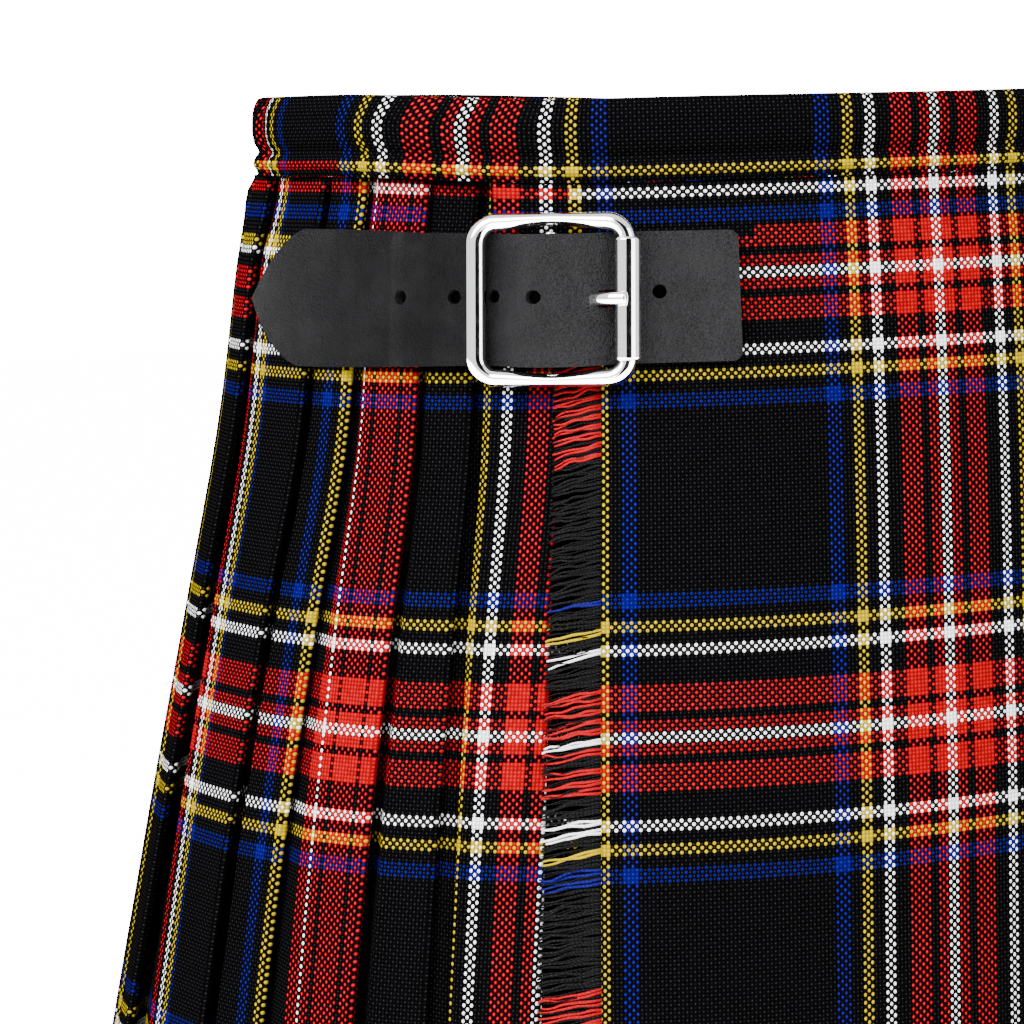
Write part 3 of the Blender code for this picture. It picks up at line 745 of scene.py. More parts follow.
# ---- cloth ----
def hang(name, mesh, columns, spot, warp, swaps, unwanted=None):
    """A cloth piece from the waistband down. spot(column, height) gives a turn, a depth and one more number,
    warp(face column, column, row) the threads, and swaps(face column) the rows that are dyed otherwise."""
    known = functools.lru_cache(maxsize=None)(lambda column, row: spot(column, HEIGHTS[row]))

    def point(column, row):
        turn, depth, _ = known(column, row)
        return place(turn, HEIGHTS[row], depth)

    spots = grid(mesh, columns, len(HEIGHTS), point)
    map_threads(
        mesh, spots,
        lambda face_column, column, row: warp(face_column, column, HEIGHTS[row], *known(column, row)),
        lambda face_row, face_column, row: weft_at(face_row, row, swaps(face_column)),
    )
    if unwanted:
        cut_away(mesh, spots, unwanted)
    return thicken(new_piece(name + "_cloth", mesh, finish_of(tartan_wool), name), CLOTH)


def folds():
    """Turns of all the folds, from the fringe round the back to the over apron's left edge."""
    found = list(FIRST_FOLDS)
    while along(found[-1], REVEAL) < LAST_FOLD:
        found.append(along(found[-1], REVEAL))
    return found


def tuck(height):
    """How much of the cloth's drawing in towards the waistband there is at a height."""
    return smooth(height, TUCK_LOW, BODY_TOP)


def spare_room(height):
    """How much deeper the stack of pleats is than its plies."""
    return table(PLEAT_DEPTH, height) - 2 * PLY


def ply_depth(turn, height, plies, free):
    """Depth of a ply's middle: so many plies deep, and a share of the room that the stack has to spare."""
    covered = FRINGE_ROOM * (1 - smooth(turn, *FRINGE_TURNS))
    drawn_in = PLEAT_TUCK * tuck(height) * (1 - TUCK_EASED * puffed(turn))
    drawn_in += LIP_TUCK * puffed(turn) * smooth(height, LIP_TUCK_LOW, BODY_TOP)
    return CLOTH / 2 + plies * PLY + free * spare_room(height) + covered + drawn_in


def round_fold(fold, angle, height):
    """A fold's round edge, at an angle from its outer face: the turn, and how far behind that face."""
    bend = math.radians(angle)
    turn = turn_at(girth(fold, height) + FOLD_RADIUS * (1 - math.sin(bend)), height)
    return turn, FOLD_RADIUS * (1 - math.cos(bend))


def fold_dye(number, height, found):
    """Place in the warp's repeat at a pleat's fold, for a face in the tartan's own order."""
    if number == 0:
        return WARP_DYE["yellow"] - (girth(YELLOW_TURN, height) - girth(found[0], height)) / WARP
    if number == 3:
        return FOURTH_DYE + FOURTH_ASKEW * smooth(height, *FOURTH_HEIGHTS)
    return PLEAT_DYE + PLEAT_ADVANCE * number


def pleat_stations(number, found):
    """Corners across one pleat, from its fold to its hidden end: (kind, amount, colour of the face after it).
    A "round" is an angle round the fold, a "threads" is counted from the fold, a "share" is of the way to the
    next fold, and a "hidden" is of the way from there to the end that lies under it."""
    chart = FACES[number] if number < len(FACES) else [(None, None)]
    starts = [sum(threads for threads, _ in chart[:k]) for k in range(len(chart))]
    narrow = (girth(found[number + 1], 0.0) - girth(found[number], 0.0)) / WARP
    marks = [("threads", start, start) for start in starts if start * WARP > NEAR_FOLD]
    steps = [("share", share, share * narrow) for share in FACE_STEPS]
    steps = [step for step in steps if all(abs(step[2] - mark[2]) > NEAR_STEP * narrow for mark in marks)]
    stations = [("round", angle, chart[0][1]) for angle in (90, 60, 30, 0)]
    for kind, amount, threads in sorted(marks + steps, key=lambda station: station[2]):
        colour = [colour for start, (_, colour) in zip(starts, chart) if start <= threads + SAME][-1]
        stations.append((kind, amount, colour))
    return stations + [("hidden", share, chart[-1][1]) for share in (0.5, 1.0)]


def pleat_length(name, start, stop, found, seam):
    """The pleats from one fold to another as one piece of cloth, and the ply that leads to a seam."""
    def behind_fold(number, colour=None):
        first = FACES[number][0][1] if number < len(FACES) else None
        places = [("return", 0.66), ("return", 0.33), ("round", 180), ("round", 150), ("round", 120)]
        return [(number, kind, amount, colour or first) for kind, amount in places]

    corners = []  # (pleat, kind, amount, colour of the face towards the hidden end)
    for number in range(start, stop):
        corners += [(number, *station) for station in pleat_stations(number, found)]
        corners += behind_fold(number + 1)
    corners.append((stop, "round", 90, None))
    if seam is not None:
        lead = [(start, "lead", share, "black") for share in (1.0, 0.5, 0.0)]
        corners = lead + behind_fold(start, "black") + corners

    def spot(column, height):
        """Turn, depth and distance from the pleat's own fold."""
        number, kind, amount, _ = corners[column]
        fold, back = found[number], found[number + 1]
        at_fold = girth(fold, height)
        if kind == "round":
            turn, behind = round_fold(fold, amount, height)
            return turn, ply_depth(turn, height, 0, 0) + behind, FOLD_RADIUS * math.radians(90 - amount)
        if kind == "return":
            turn = fold + amount * HIDDEN * (back - fold)
            depth = ply_depth(turn, height, 1, RETURN_FREE * amount)
            return turn, depth, at_fold - girth(turn, height) - BULGE
        if kind == "lead":
            turn = seam + (fold + HIDDEN * (back - fold) - seam) * amount
            return turn, ply_depth(turn, height, 2, 1.0), at_fold - girth(turn, height)
        if kind == "hidden":
            behind = found[min(number + 2, len(found) - 1)]
            turn = back + amount * HIDDEN * (behind - back)
            free = FACE_FREE + (1 - FACE_FREE) * amount
            return turn, ply_depth(turn, height, 2, free), girth(turn, height) - at_fold + BULGE
        wide = girth(back, height) - at_fold
        flat = amount * wide if kind == "share" else amount * WARP - BULGE
        turn = turn_at(at_fold + flat, height)
        outer, inner = ply_depth(turn, height, 0, 0), ply_depth(turn, height, 2, FACE_FREE)
        return turn, outer + (inner - outer) * smooth(flat / wide, *DIP), flat + BULGE

    def warp(face_column, column, height, turn, depth, across):
        colour = corners[face_column][3]
        if colour is not None:
            return across / WARP + 1000, WARP_DYE[colour]
        number = fold_dye(corners[column][0], height, found) + across / WARP
        return number + 0.5, number

    def swaps(face_column):
        return PLEAT_ROWS[min(corners[face_column][0], len(PLEAT_ROWS) - 1)]

    return hang(name, bmesh.new(), len(corners), spot, warp, swaps)


def apron_dye(turn, height):
    """Place in the warp's repeat on the over apron: counted from its fringed edge, and drawn a little askew
    where it goes up to the waistband."""
    distance = girth(DYE_TURN, height) - girth(turn, height)
    high = smooth(height, -0.012, 0.012)
    if distance < 0:
        edge = APRON_DYE_TOP * high + APRON_DYE * (1 - high)
        return edge + distance / WARP / (1 + 0.25 * high)
    askew = (APRON_DYE_TOP - APRON_DYE) * high * (1 - smooth(distance, 0, 0.050))
    return APRON_DYE + distance / table(APRON_PITCH, height) + askew


def over_apron():
    """From the fringed edge and the tab across the front to the folded left edge and the ply under it."""
    fold = folds()[-1] - 360
    tab = even(TAB_TURN, EDGE_TURN, 2.0)[:-1]
    corners = [("face", turn) for turn in tab + even(EDGE_TURN, fold, 2.2)[:-1]]
    corners += [("round", angle) for angle in range(0, 181, 30)]
    corners += [("return", share) for share in (0.33, 0.66, 1.0)]

    def spot(column, height):
        """Turn, depth and distance behind the fold."""
        kind, amount = corners[column]
        near = CLOTH / 2 + APRON_TUCK * tuck(height)
        if kind == "face":
            return amount, near, 0.0
        if kind == "round":
            turn, behind = round_fold(fold, amount, height)
            return turn, near + behind, FOLD_RADIUS if amount > 90 else 0.0
        turn = fold + amount * APRON_HIDDEN
        depth = near + PLY + RETURN_FREE * amount * spare_room(height)
        return turn, depth, girth(turn, height) - girth(fold, height)

    def warp(face_column, column, height, turn, depth, behind):
        number = apron_dye(fold if behind else turn, height) + behind / WARP
        return number + 0.5, number

    def swaps(face_column):
        kind, turn = corners[face_column]
        red = {-48: "red"} if kind == "face" and turn > TAB_RED_TURN else {}
        # The row just over the strap is painted black, as shade along the strap's upper edge.
        return {**red, -37: "black"} if kind == "face" and turn > STRAP_SHADE_TURN else red

    low = max(row for row, height in enumerate(HEIGHTS) if height >= TAB_LOW)
    return hang(
        "over_apron", bmesh.new(), len(corners), spot, warp, swaps,
        lambda columns, rows: max(columns) <= len(tab) and max(rows) > low,
    )


def under_apron():
    """From the seam with the pleats across the front, just under the over apron, to its free left edge."""
    turns = even(along(UNDER_SEAM, -SEAM), UNDER_EDGE - 360, 3)

    def spot(column, height):
        turn = turns[column]
        near = UNDER_GAP + CLOTH / 2 + (APRON_TUCK + BAND_INSET - UNDER_GAP) * tuck(height)
        return turn, near + (ply_depth(turn, height, 2, 1.0) - near) * smooth(turn, *UNDER_TURNS), 0.0

    def warp(face_column, column, height, turn, depth, _):
        number = UNDER_DYE + (girth(UNDER_SEAM, height) - girth(turn, height)) / WARP
        return number + 0.5, number

    return hang("under_apron", bmesh.new(), len(turns), spot, warp, lambda face_column: {})


def band_distance(turn):
    """The distance along the waistband from its blue stripe over the fringed edge."""
    return girth(BAND_BLUE_TURN, BAND_MIDDLE) - girth(turn, BAND_MIDDLE)


def band_lean(turn, drop):
    """Threads by which the stripes are drawn back over the top edge, and in the groove near the outer end."""
    top = BAND_LEAN * (1 - smooth(drop, 0.0, LEAN_DROP))
    groove = GROOVE_LEAN * smooth(drop, *GROOVE_DROPS)
    if turn < INNER_TURN:
        return top + groove
    return top * smooth(band_distance(turn), *LEAN_DISTANCES) + groove * smooth(turn, *GROOVE_TURNS)


def band_dye(turn):
    """Place in the warp's repeat along the waistband."""
    distance = band_distance(turn)
    (first, first_dye), (last, last_dye) = BAND_STRIPES[0], BAND_STRIPES[-1]
    if distance < first:
        return first_dye + (distance - first) / WARP
    if distance <= last:
        return float(np.interp(distance, *zip(*BAND_STRIPES)))
    # Between the front and the inner run the stripes are spread so that both come out right.
    start = girth(360, BAND_MIDDLE) - girth(0, BAND_MIDDLE) + INNER_BLUE[0] - INNER_TRUE
    natural = last_dye + (start - last) / WARP
    start_dye = INNER_BLUE[1] - INNER_TRUE / WARP
    start_dye += WARP_REPEAT * round((natural - start_dye) / WARP_REPEAT)
    if distance <= start:
        return last_dye + (start_dye - last_dye) * (distance - last) / (start - last)
    number = start_dye + (distance - start) / WARP
    # Behind the hip the white stripe is narrow, and the red one follows it at once and is wide.
    beyond = start_dye + INNER_TRUE / WARP - INNER_WHITE - number
    return number if beyond < 0 else number + beyond - INNER_SKIP - INNER_WIDER * min(beyond, 20.0)


def band_section():
    """The waistband's section from its inner wall over the top to its lip, as (how far down, how far in).
    Up its face there are corners at every half row of the weave."""
    def stands(drop):
        return -table([(-depth, out) for depth, out in BAND_PROFILE], -drop)

    fine = [BAND_TALL * (1 - k / FINE_STEPS) for k in range(FINE_STEPS + 1)]
    rises = [0.0]
    for low, high in zip(fine, fine[1:]):
        rises.append(rises[-1] + math.hypot(high - low, stands(high) - stands(low)))
    marks = [0.0] + [(LIP_ROWS + k / 2) * WEFT for k in range(80)]
    marks = [mark for mark in marks if mark < rises[-1] - 0.0003] + [rises[-1]]
    drops = [float(np.interp(mark, rises, fine)) for mark in reversed(marks)]
    half = BAND_WALL / 2
    section = [(drops[-1] - k * (drops[-1] - half) / 6, BAND_WALL + BAND_GAP) for k in range(6)]
    for angle in range(0, 151, 30):
        bend = math.radians(angle)
        section.append((half - half * math.sin(bend), BAND_GAP + half + half * math.cos(bend)))
    section += [(drop, stands(drop)) for drop in drops[1:]]
    return section + section[:1]


def waistband():
    """One long band: its outer run on the over apron, then a step inward, then round the pleats and under
    itself across the under apron. Its cloth goes over the top edge and closes at the lower one."""
    turns = even(BAND_END, BAND_UNDER_END - 720, 2.0)
    turns[1:1] = [BAND_END - 0.25, BAND_END - END_ROUND]
    section = band_section()
    lengths = [0.0]
    for (d0, s0), (d1, s1) in zip(section, section[1:]):
        lengths.append(lengths[-1] + math.hypot(d1 - d0, s1 - s0))
    lower = lengths[-2] - LIP_ROWS * WEFT

    def point(column, row):
        turn, (drop, deep) = turns[column], section[row]
        inset = BAND_INSET * smooth(turn, *(step - 360 for step in BAND_STEP))
        inset -= BAND_RISE * rise_and_fall(turn, *BAND_RISE_TURNS)
        near_end = min(abs(turn - turns[0]), abs(turn - turns[-1]), END_ROUND) / END_ROUND
        flat = math.sqrt(1 - near_end ** 2)
        deep += (BAND_WALL / 2 - deep) * END_FLAT * flat
        easing = FRONT_DROP * smooth(half_turn(turn), *FRONT_DROP_TURNS)
        easing += BACK_DROP * rise_and_fall(turn % 360, *BACK_DROP_TURNS)
        return place(turn, WAIST_TOP - drop - easing * (1 - drop / BAND_TALL), inset + deep)

    def warp(face_column, column, row):
        number = band_dye(turns[column]) - band_lean(turns[column], section[row][0])
        return number + 0.5, number

    def weft(face_row, column, row):
        middle = (lower - (lengths[face_row] + lengths[face_row + 1]) / 2) / WEFT
        yellow = "red" if LIP_RED_TURNS[0] < turns[column] < LIP_RED_TURNS[1] else "yellow"
        colour = yellow if YELLOW_ROWS[0] < middle < YELLOW_ROWS[1] else "black"
        return (lower - lengths[row]) / WEFT, WEFT_DYE[colour]

    mesh = bmesh.new()
    map_threads(mesh, grid(mesh, len(turns), len(section), point), warp, weft)
    close_up(mesh)
    return new_piece("waistband_cloth", mesh, finish_of(tartan_wool), "waistband")


def yarn(mesh, points, radii, dye):
    """A thin yarn along points, with its dye's place in the weft's repeat."""
    def point(column, row):
        ahead = points[min(column + 1, len(points) - 1)] - points[max(column - 1, 0)]
        side = ahead.cross(UP).normalized()
        up = side.cross(ahead).normalized()
        angle = 2 * math.pi * row / YARN_SIDES
        return points[column] + (side * math.cos(angle) + up * math.sin(angle)) * radii[column]

    spots = grid(mesh, len(points), YARN_SIDES + 1, point)
    map_threads(
        mesh, spots,
        lambda face_column, column, row: (column * FIBRE_STEP, 0.0),
        lambda face_row, face_column, row: (row + dye, dye),
    )


def fringe_colour(height):
    """The yarn drawn out at a height: red at the top and above the knee, and the weft's own order between."""
    if height > RED_TOP or RED_LOW[0] > height > RED_LOW[1]:
        return "red"
    half = WEFT_REPEAT / 2
    place_down = abs((row_number(height) + ROW_DYE + half) % WEFT_REPEAT - half)
    return next(colour for colour, stop in WEFT_HALF if place_down <= stop)


def fringe():
    """Yarns drawn out of the over apron's edge, two loose plies to a strand, with finer dark ones between."""
    mesh = bmesh.new()
    pitch = (FRINGE_TOP - HEM - 0.001) / STRANDS
    reach = even(-STRAND_ROOT, 0.0120, 0.0009)
    turns = [along(EDGE_TURN, far) for far in reach]
    for strand in range(STRANDS):
        height = FRINGE_TOP - (strand + 0.5) * pitch
        for ply in range(4):
            loose = ply >= 2
            # Each yarn has its own place in the noise, by which its length, drop, sway and curl differ.
            seed = Vector((strand * 3.7, ply * 11.3, 0))
            length = STRAND_LONG * (1 + 0.14 * noise.noise(seed)) + STRAND_ROOT
            drop = STRAND_DROP + 0.0011 * noise.noise(seed + Vector((5, 0, 0)))
            start = height + (pitch * (0.34 + 0.22 * (ply - 2)) if loose else 0.0)
            apart = 0.0 if loose else (-STRAND_APART, STRAND_APART)[ply]
            points, radii = [], []
            for k in range(STRAND_STEPS + 1):
                t = k / STRAND_STEPS
                turn = float(np.interp(length * t - STRAND_ROOT, reach, turns))
                sway = noise.noise(Vector((strand * 1.9, ply * 0.4, 7 + 3.0 * t))) * 0.0013 * t ** 0.7
                curl = noise.noise(seed + Vector((9, 0, 3.1 * t))) * 0.0012 * t
                apart_here = apart * (0.9 + 0.9 * noise.noise(seed + Vector((3, 0, 4 * t))))
                down = drop * t ** 1.2 + sway + apart_here
                depth = CLOTH + SEAM + 0.0004 * (1 - t) - curl
                points.append(place(turn, start - down, depth))
                radii.append((FINE_YARN if loose else YARN) * (1 - 0.4 * t * t))
            yarn(mesh, points, radii, WEFT_DYE["black" if loose else fringe_colour(height)])
    close_up(mesh, sides=6)
    return new_piece("fringe_yarn", mesh, finish_of(loose_wool_yarn), "fringe")


# ---- strap and buckle ----
def strap_point(forward, up, out):
    """A point by how far it is ahead of the buckle's middle, up, and out from the cloth."""
    turn = along(BUCKLE_TURN, -forward)
    high, low = place(turn, STRAP_WIDE / 2), place(turn, -STRAP_WIDE / 2)
    up += table(STRAP_RISE, forward)
    return (high + low) / 2 + (high - low).normalized() * up + ring(turn)[1].to_3d() * out


def flared(forward, up):
    """A height on the strap, which widens towards its point."""
    return up * (1 + STRAP_FLARE * smooth(forward, *STRAP_FLARE_AT))


def outline(mesh, points):
    """A closed line of edges in the flat plane."""
    corners = [mesh.verts.new((x, y, 0)) for x, y in points]
    return [mesh.edges.new((a, b)) for a, b in zip(corners, corners[1:] + corners[:1])]


def arc(x, y, radius, start, stop, steps):
    """Points on a circle, between two angles in degrees."""
    angles = [math.radians(start + (stop - start) * k / steps) for k in range(steps + 1)]
    return [(x + radius * math.cos(a), y + radius * math.sin(a)) for a in angles]


def strap():
    """Leather strap over the buckle's centre bar, with punched holes and its point towards the back."""
    half, radius = STRAP_WIDE / 2, STRAP_CORNER
    square = STRAP_SQUARE - radius
    shares = [1 - (k / POINT_STEPS) ** POINT_CROWD for k in range(1, POINT_STEPS + 1)]
    long = STRAP_SHOULDER - STRAP_TIP
    to_point = [(STRAP_TIP + long * t, half * (1 - (1 - t) ** POINT_ROUND) + POINT_BLUNT) for t in shares]
    edge = arc(square, half - radius, radius, 0, 90, 5) + to_point
    edge += [(forward, -up) for forward, up in reversed(to_point)]
    edge += arc(square, radius - half, radius, 270, 360, 5)
    mesh = bmesh.new()
    edges = outline(mesh, edge)
    for forward, up in HOLES:
        edges += outline(mesh, arc(forward, up, HOLE / 2, 0, 345, 23))
    slot_front, slot_back = PRONG_SLOT
    slot = arc(slot_front, 0, SLOT_RADIUS, -90, 90, 8) + arc(slot_back, 0, SLOT_RADIUS, 90, 270, 8)
    edges += outline(mesh, slot)
    bmesh.ops.triangle_fill(mesh, use_beauty=True, use_dissolve=False, edges=edges)
    cuts = [(forward, (1, 0, 0)) for cut in STRAP_CUTS for forward in even(*cut)]
    cuts += [(up, (0, 1, 0)) for up in even(-0.012, 0.012, 0.004)]
    for far, way in cuts:
        geometry = mesh.verts[:] + mesh.edges[:] + mesh.faces[:]
        bmesh.ops.bisect_plane(mesh, geom=geometry, plane_co=Vector(way) * far, plane_no=way, dist=0.00001)
    for corner in mesh.verts:
        forward, up, _ = corner.co
        up = flared(forward, up)
        bowed = STRAP_BOW * smooth(abs(up), half * 0.5, half) * smooth(abs(forward), 0.03, 0.012)
        corner.co = strap_point(forward, up, table(STRAP_HEIGHTS, forward) - bowed)
    made = new_piece("strap_leather", mesh, finish_of(black_grained_leather), "strap")
    return soften(thicken(made, STRAP_THICK), STRAP_EDGE, 3)


def hole_floors():
    """Painted shade at the bottom of the punched holes: a dark disc sunk in each hole, which goes through the
    leather.
    """
    mesh = bmesh.new()
    for forward, up in HOLES:
        disc = bmesh.ops.create_circle(mesh, cap_ends=True, segments=24, radius=HOLE / 2 - FLOOR_CLEAR)
        for corner in disc["verts"]:
            f, u = corner.co.x + forward, corner.co.y + up
            corner.co = strap_point(f, flared(f, u), table(STRAP_HEIGHTS, f) - HOLE_FLOOR)
    made = new_piece("strap_hole_shade_discs", mesh, finish_of(painted_hole_shade))
    return thicken(made, FLOOR_THICK)


def buckle_frame():
    """The buckle's own axes: towards the front, up and out, from the middle of its centre bar."""
    half = BUCKLE_SIDE / 2
    near, far = strap_point(half, 0, ROLLER_HEIGHT), strap_point(-half, 0, FAR_BAR_HEIGHT)
    forward = (near - far).normalized()
    out = forward.cross(strap_point(0, half, 0) - strap_point(0, -half, 0)).normalized()
    axes = Matrix((forward, out.cross(forward), out)).transposed().to_4x4()
    return Matrix.Translation((near + far) / 2) @ axes


def lie_down(mesh, circle, spot):
    """Turns a new circle to face the second axis and moves it to its place."""
    bmesh.ops.rotate(mesh, verts=circle["verts"], cent=(0, 0, 0), matrix=Matrix.Rotation(math.pi / 2, 3, "X"))
    bmesh.ops.translate(mesh, verts=circle["verts"], vec=spot)


def only(kind, geometry):
    return [each for each in geometry if isinstance(each, kind)]


def frame_wire():
    """The buckle's square frame: a round wire spun round its four corners and drawn straight between them."""
    mesh = bmesh.new()
    inner = BUCKLE_SIDE / 2 - BUCKLE_CORNER
    lie_down(mesh, bmesh.ops.create_circle(mesh, segments=20, radius=WIRE / 2), (BUCKLE_SIDE / 2, inner, 0))
    last = mesh.verts[:] + mesh.edges[:]
    for quarter in range(4):
        turned = Matrix.Rotation(quarter * math.pi / 2, 3, "Z")
        spun = bmesh.ops.spin(
            mesh, geom=last, cent=turned @ Vector((inner, inner, 0)), axis=(0, 0, 1), dvec=(0, 0, 0),
            angle=math.pi / 2, steps=10, use_duplicate=False,
        )
        drawn = bmesh.ops.extrude_edge_only(mesh, edges=only(bmesh.types.BMEdge, spun["geom_last"]))["geom"]
        corners = only(bmesh.types.BMVert, drawn)
        bmesh.ops.translate(mesh, verts=corners, vec=turned @ Vector((-2 * inner, 0, 0)))
        last = corners + only(bmesh.types.BMEdge, drawn)
    bmesh.ops.remove_doubles(mesh, verts=mesh.verts, dist=0.00002)
    straight = [edge for edge in mesh.edges if edge.calc_length() > 0.01]
    bmesh.ops.subdivide_edges(mesh, edges=straight, cuts=12, use_grid_fill=True)
    reach = BUCKLE_SIDE / 2 + WIRE / 2
    for corner in mesh.verts:
        forward, up, _ = corner.co
        if abs(up) > inner:
            middle = 1 - smooth(abs(forward), 0.0, inner + 0.002)
            slim = BAR_SLIM * middle * smooth(abs(up), inner, reach - WIRE)
            corner.co.y = math.copysign(reach - (reach - abs(up)) * (1 - slim), up)
        if forward < -inner:
            broad = 1 + BAR_BROAD * smooth(-forward, inner, reach - WIRE)
            corner.co.x = -(reach - (reach + forward) * broad)
    mesh.transform(buckle_frame())
    return new_piece("buckle_frame_wire", mesh, finish_of(polished_chromium_plate), "buckle_frame")


def spin_round(mesh, line, axis, steps):
    """Spins a line of corners and edges once round an axis, and welds its doubles."""
    bmesh.ops.spin(
        mesh, geom=line, cent=(0, 0, 0), axis=axis, dvec=(0, 0, 0), angle=2 * math.pi, steps=steps,
        use_merge=True, use_duplicate=False,
    )
    bmesh.ops.remove_doubles(mesh, verts=mesh.verts, dist=SAME)


def lathe(name, profile, forward, node):
    """A round bar of the buckle: its profile of (radius, height) spun once and set upright so far forward."""
    mesh = bmesh.new()
    corners = [mesh.verts.new((radius, 0, height)) for radius, height in profile]
    edges = [mesh.edges.new((a, b)) for a, b in zip(corners, corners[1:])]
    spin_round(mesh, corners + edges, UP, 32)
    upright = Matrix.Rotation(-math.pi / 2, 4, "X")
    mesh.transform(buckle_frame() @ Matrix.Translation((forward, 0, 0)) @ upright)
    return new_piece(name, mesh, finish_of(polished_chromium_plate), node)


def roller():
    """A rolled tube on the frame's front bar, its ends turned in."""
    inside, outside, end, lip = ROLLER_IN / 2, ROLLER_OUT / 2, ROLLER_LONG / 2, ROLLER_LIP
    profile = [(inside, -end), (outside - lip, -end), (outside, -end + lip), (outside, -end + 2 * lip)]
    profile += [(radius, -height) for radius, height in reversed(profile)] + profile[:1]
    return lathe("buckle_roller_tube", profile, BUCKLE_SIDE / 2, "buckle_roller")


def centre_bar():
    """The bar that the prong and the tab turn on, its ends just short of the frame."""
    end, radius = (BUCKLE_SIDE - WIRE) / 2 - SEAM, CENTRE_BAR / 2
    profile = [(0.0, -end), (radius - BAR_LIP, -end), (radius, -end + BAR_LIP)]
    profile += [(out, -height) for out, height in reversed(profile)]
    return lathe("buckle_bar_rod", profile, 0.0, "buckle_centre_bar")


def prong():
    """A bent pin with a flat face and a squared tip, and its ring round the centre bar."""
    path = [
        Vector(a).lerp(Vector(b), t / 3) for a, b in zip(PRONG_PATH, PRONG_PATH[1:]) for t in range(3)
    ] + [Vector(PRONG_PATH[-1])]
    for _ in range(3):
        path[1:-1] = [(a + 2 * b + c) / 4 for a, b, c in zip(path, path[1:], path[2:])]
    wide, flat, sides = PRONG / 2, PRONG / 2 * PRONG_FLAT, 16

    def squared(share):
        return math.copysign(abs(share) ** PRONG_SQUARE, share)

    def point(column, row):
        ahead = (path[min(column + 1, len(path) - 1)] - path[max(column - 1, 0)]).normalized()
        angle = 2 * math.pi * row / sides
        across, away = squared(math.cos(angle)) * wide, squared(math.sin(angle)) * flat
        forward, out = path[column] + Vector((ahead.y, -ahead.x)) * away
        return Vector((forward, across, out))

    mesh = bmesh.new()
    grid(mesh, len(path), sides + 1, point)
    ends = close_up(mesh)
    bmesh.ops.bevel(
        mesh, geom=ends, offset=PRONG_TIP, offset_type="OFFSET", segments=3, profile=0.5, affect="EDGES",
        material=-1, clamp_overlap=True,
    )
    circle = bmesh.ops.create_circle(mesh, segments=10, radius=PRONG_RING / 2)
    lie_down(mesh, circle, (CENTRE_BAR / 2 + SEAM + PRONG_RING / 2, 0, 0))
    rim = list({edge for corner in circle["verts"] for edge in corner.link_edges})
    spin_round(mesh, circle["verts"] + rim, (0, 1, 0), 24)
    mesh.transform(buckle_frame())
    return new_piece("buckle_prong_pin", mesh, finish_of(polished_chromium_plate), "buckle_prong")


def buckle_tab():
    """A leather loop round the centre bar, its plies sewn down under the strap's tail, open for the prong."""
    turned = buckle_frame()
    radius = CENTRE_BAR / 2 + SEAM + TAB_PLY / 2
    low, high = SEAM + TAB_PLY / 2, 2 * SEAM + 1.5 * TAB_PLY
    ends = (-TAB_LONG, -TAB_LONG / 2, -TAB_SLOT_END)
    spots = [(forward, low, None) for forward in ends]
    spots += [(0, 0, angle) for angle in range(-110, 131, 15)]
    spots += [(forward, high, None) for forward in reversed(ends)]
    ups = [-TAB_WIDE / 2, -TAB_SLOT / 2, TAB_SLOT / 2, TAB_WIDE / 2]

    def point(column, row):
        forward, out, angle = spots[column]
        if angle is None:
            return strap_point(forward, ups[row], out)
        bend = math.radians(angle)
        return turned @ Vector((radius * math.cos(bend), ups[row], radius * math.sin(bend)))

    mesh = bmesh.new()
    corners = grid(mesh, len(spots), len(ups), point)
    slit = range(4, len(spots) - 4)
    cut_away(mesh, corners, lambda columns, rows: min(rows) == 1 and min(columns) in slit)
    made = new_piece("buckle_tab_leather", mesh, finish_of(black_grained_leather), "buckle_tab")
    return soften(thicken(made, TAB_PLY), TAB_EDGE, 2)


# ---- settings ----
def colour_setting(name, description, code):
    return FloatVectorProperty(name=name, description=description, subtype="COLOR", default=linear(code))


def length_setting(name, description, default):
    return FloatProperty(name=name, description=description, unit="LENGTH", default=default)


def pair_setting(name, description, default):
    return FloatVectorProperty(name=name, description=description, size=2, default=default)


def setting(name, description, default):
    return FloatProperty(name=name, description=description, default=default)


class KiltLooks(bpy.types.PropertyGroup):
    """Colours and finish of the kilt"""

    black: colour_setting("Black", "Black yarn", "060607")
    red: colour_setting("Red", "Red yarn", "94000C")
    blue: colour_setting("Blue", "Blue yarn", "0A0556")
    yellow: colour_setting("Yellow", "Yellow yarn", "A68E00")
    white: colour_setting("White", "White yarn", "F8F8F8")
    # strength of the painted grey highlight on the floats' crowns and on the fringe's fibres
    grey_light: setting("Grey light", "How much paler the crown of a thread is", 0.022)
    gap_shade: setting("Shade between floats", "How dark the cloth is where the yarns cross", 0.5)
    warp_float: pair_setting("Warp float", "Half its width and height, in threads", (0.39, 0.52))
    weft_float: pair_setting("Weft float", "Half its width and height, in threads", (0.45, 0.47))
    hide: colour_setting("Leather", "Dyed leather", "080809")
    # greys the leather towards the buckle and the front: partly wear, partly painted highlight
    worn: colour_setting("Worn leather", "Leather where it is rubbed", "242425")
    grain: length_setting("Grain", "Width of a pebble of the grain", 0.00040)
    plate: colour_setting("Plate", "Chromium plate", "E6E6E8")
    paper: colour_setting("Paper", "Studio paper", "FAFAFA")


